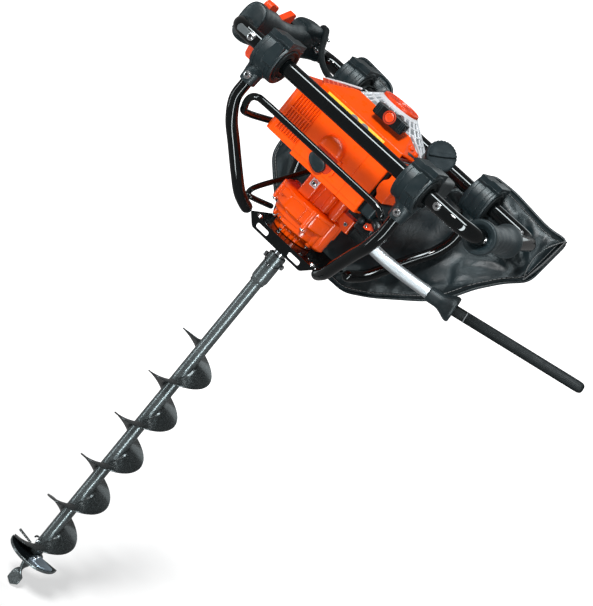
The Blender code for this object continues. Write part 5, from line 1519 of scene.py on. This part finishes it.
def make_cushion():
    """The pad: creased, blown up and smoothed, then its rim and its seams."""
    pillow = build("cushion", cushion_skins(), "leatherette", replaces=["hip_cushion"], sharp=180)
    for vertex in pillow.data.vertices:
        edge = inside_distance(vertex.co.x, vertex.co.z, CUSHION_OUTLINE)
        vertex.co.y += crease(vertex.co) * min(max(edge / 0.03, 0.15), 1.0)
    inflate(pillow)
    smooth = pillow.modifiers.new("smooth", "SMOOTH")
    smooth.factor = 0.5
    smooth.iterations = 2
    rounding = pillow.modifiers.new("rounding", "SUBSURF")
    rounding.levels = 1
    rounding.render_levels = 1
    make_rim()
    sew(pillow)


SEAM_INSET = {-1: 0.0065, 1: 0.0125}  # how far the sewn channel lies inside the rim, front and back
THREAD_R = 0.00045
HEM_TOP, HEM_LOW = (0.28, 0.031), (0.269, -0.06)


def hem_loop(bulge_out, bulge_in, lift):
    """Lens-shaped loop of the open right end, as points on the cushion's middle surface."""
    (tx, tz), (lx, lz) = HEM_TOP, HEM_LOW
    loop = []
    for k in range(25):
        t = k / 24
        loop.append((tx + (lx - tx) * t + bulge_out * math.sin(math.pi * t), tz + (lz - tz) * t))
    for k in range(1, 24):
        t = 1 - k / 24
        loop.append((tx + (lx - tx) * t - bulge_in * math.sin(math.pi * t), tz + (lz - tz) * t))
    return [(x, cushion_middle(x, z) + lift, z) for x, z in loop]


def make_rim():
    """Piping round the rim, and the open end's turned hem with its two rows of stitches."""
    piping = [(x, cushion_middle(x, z), z) for x, z in CUSHION_EDGE + CUSHION_EDGE[:1]]
    build("cushion_piping", sweep(piping, 0.0026, 14, False), "leatherette")
    front = -0.015
    outer, inner = hem_loop(0.0035, 0.0165, front), hem_loop(0.001, 0.0135, front)
    band = [[(x, y + shift, z) for x, y, z in points]
            for points, shift in ((outer, 0.0), (inner, -0.0012), (inner, 0.01), (outer, 0.017))]
    band = build("hem_band", rings_to_mesh(band, wrap=True), "leatherette", sharp=180)
    rounding = band.modifiers.new("rounding", "SUBSURF")
    rounding.levels = rounding.render_levels = 2
    lining = [[(x, y + depth, z) for x, y, z in inner] for depth in (0.0075, 0.0105)]
    build("hem_lining", rings_to_mesh(lining), "charcoal_gloss")
    stitches = []
    for bulge_out, bulge_in, lift in ((0.0028, 0.0157, front - 0.0006), (0.0016, 0.0143, front - 0.0014)):
        loop = [Vector(p) for p in hem_loop(bulge_out, bulge_in, lift)]
        for k in range(len(loop)):
            a, b = loop[k], loop[(k + 1) % len(loop)]
            middle = a.lerp(b, 0.5) - Vector((0, 0.0004, 0))
            stitches.append(sweep([a.lerp(b, 0.12), middle, a.lerp(b, 0.88)], THREAD_R, 6))
    build("hem_stitches", together(*stitches), "hem_thread")


def inset(outline, by):
    """Outline moved inwards, corner by corner."""
    count = len(outline)
    inner = []
    for k in range(count):
        before, here, after = (Vector(outline[j % count]) for j in (k - 1, k, k + 1))
        a, b = (here - before).normalized(), (after - here).normalized()
        side = Vector((a.y + b.y, -a.x - b.x)).normalized()
        spot = here + side * by
        if inside_distance(spot.x, spot.y, outline) < 0:
            spot = here - side * by
        inner.append(spot)
    return inner


def on_pillow(tree, x, z, side):
    """Point of the pillow's front (-1) or back (1) skin at x, z, or None."""
    hit = tree.ray_cast(Vector((x, 0.22 + side * 0.5, z)), Vector((0, -side, 0)))
    return hit[0]


def sew(pillow):
    """Rows of stitches let into both skins, and the loops that hang the pad on the rear bar."""
    graph = bpy.context.evaluated_depsgraph_get()
    tree = BVHTree.FromObject(pillow, graph)
    threads, grooves, lines = [], [], []
    for side in (-1, 1):
        ring = inset(CUSHION_EDGE, SEAM_INSET[side])
        lines.append((side, ring + ring[:1]))
    lines += [(1, [Vector((-0.168, -0.07)), Vector((0.215, -0.07))]),
              (1, [Vector((-0.15, -0.15)), Vector((0.165, -0.15))])]
    for side, line in lines:
        spots = []
        for a, b in zip(line, line[1:]):
            parts = max(int((b - a).length / 0.0045), 1)
            spots += [a.lerp(b, t / parts) for t in range(parts)]
        path = [on_pillow(tree, spot.x, spot.y, side) for spot in spots]
        path = [point for point in path if point is not None]
        out = Vector((0, side, 0))
        grooves.append(sweep([point + out * 0.0001 for point in path], 0.0011, 8, False))
        for a, b in zip(path, path[1:]):
            if (b - a).length < 0.008:
                threads.append(sweep([a.lerp(b, 0.15) + out * 0.001, a.lerp(b, 0.5) + out * 0.0015,
                                      a.lerp(b, 0.85) + out * 0.001], THREAD_R, 6))
    build("seam_channels", together(*grooves), "seam_dark")
    build("seam_stitches", together(*threads), "hem_thread")
    loops = []
    y, wrap, thin = BAR_Y, 0.0145, 0.0131 / 0.0145
    for x in (-0.128, 0.04):
        band = [(y + wrap * math.cos(math.radians(d)), wrap * math.sin(math.radians(d))) for d in range(80, 281, 20)]
        band = [(y + 0.04, 0.013), (y + 0.02, 0.0142)] + band + [(y + 0.02, -0.0142), (y + 0.04, -0.013)]
        inner = [(y + (u - y) * thin if u < y + 0.01 else u, v * thin) for u, v in reversed(band)]
        loops.append(prism(band + inner, x - 0.012, x + 0.012, "yz"))
    build("cushion_loops", together(*loops), "black_rubber", bevel=0.0004)


def main():
    add_camera()
    make_materials()
    add_stage()
    make_frame()
    make_auger()
    make_control_handle()
    make_cable()
    make_right_grip()
    make_brace_arm()
    make_shroud()
    make_muffler_cover()
    make_filter_side()
    make_apron()
    make_starter()
    make_fuel()
    make_carburettor()
    make_gearbox()
    dress_hidden_nodes()
    make_cushion()


main()
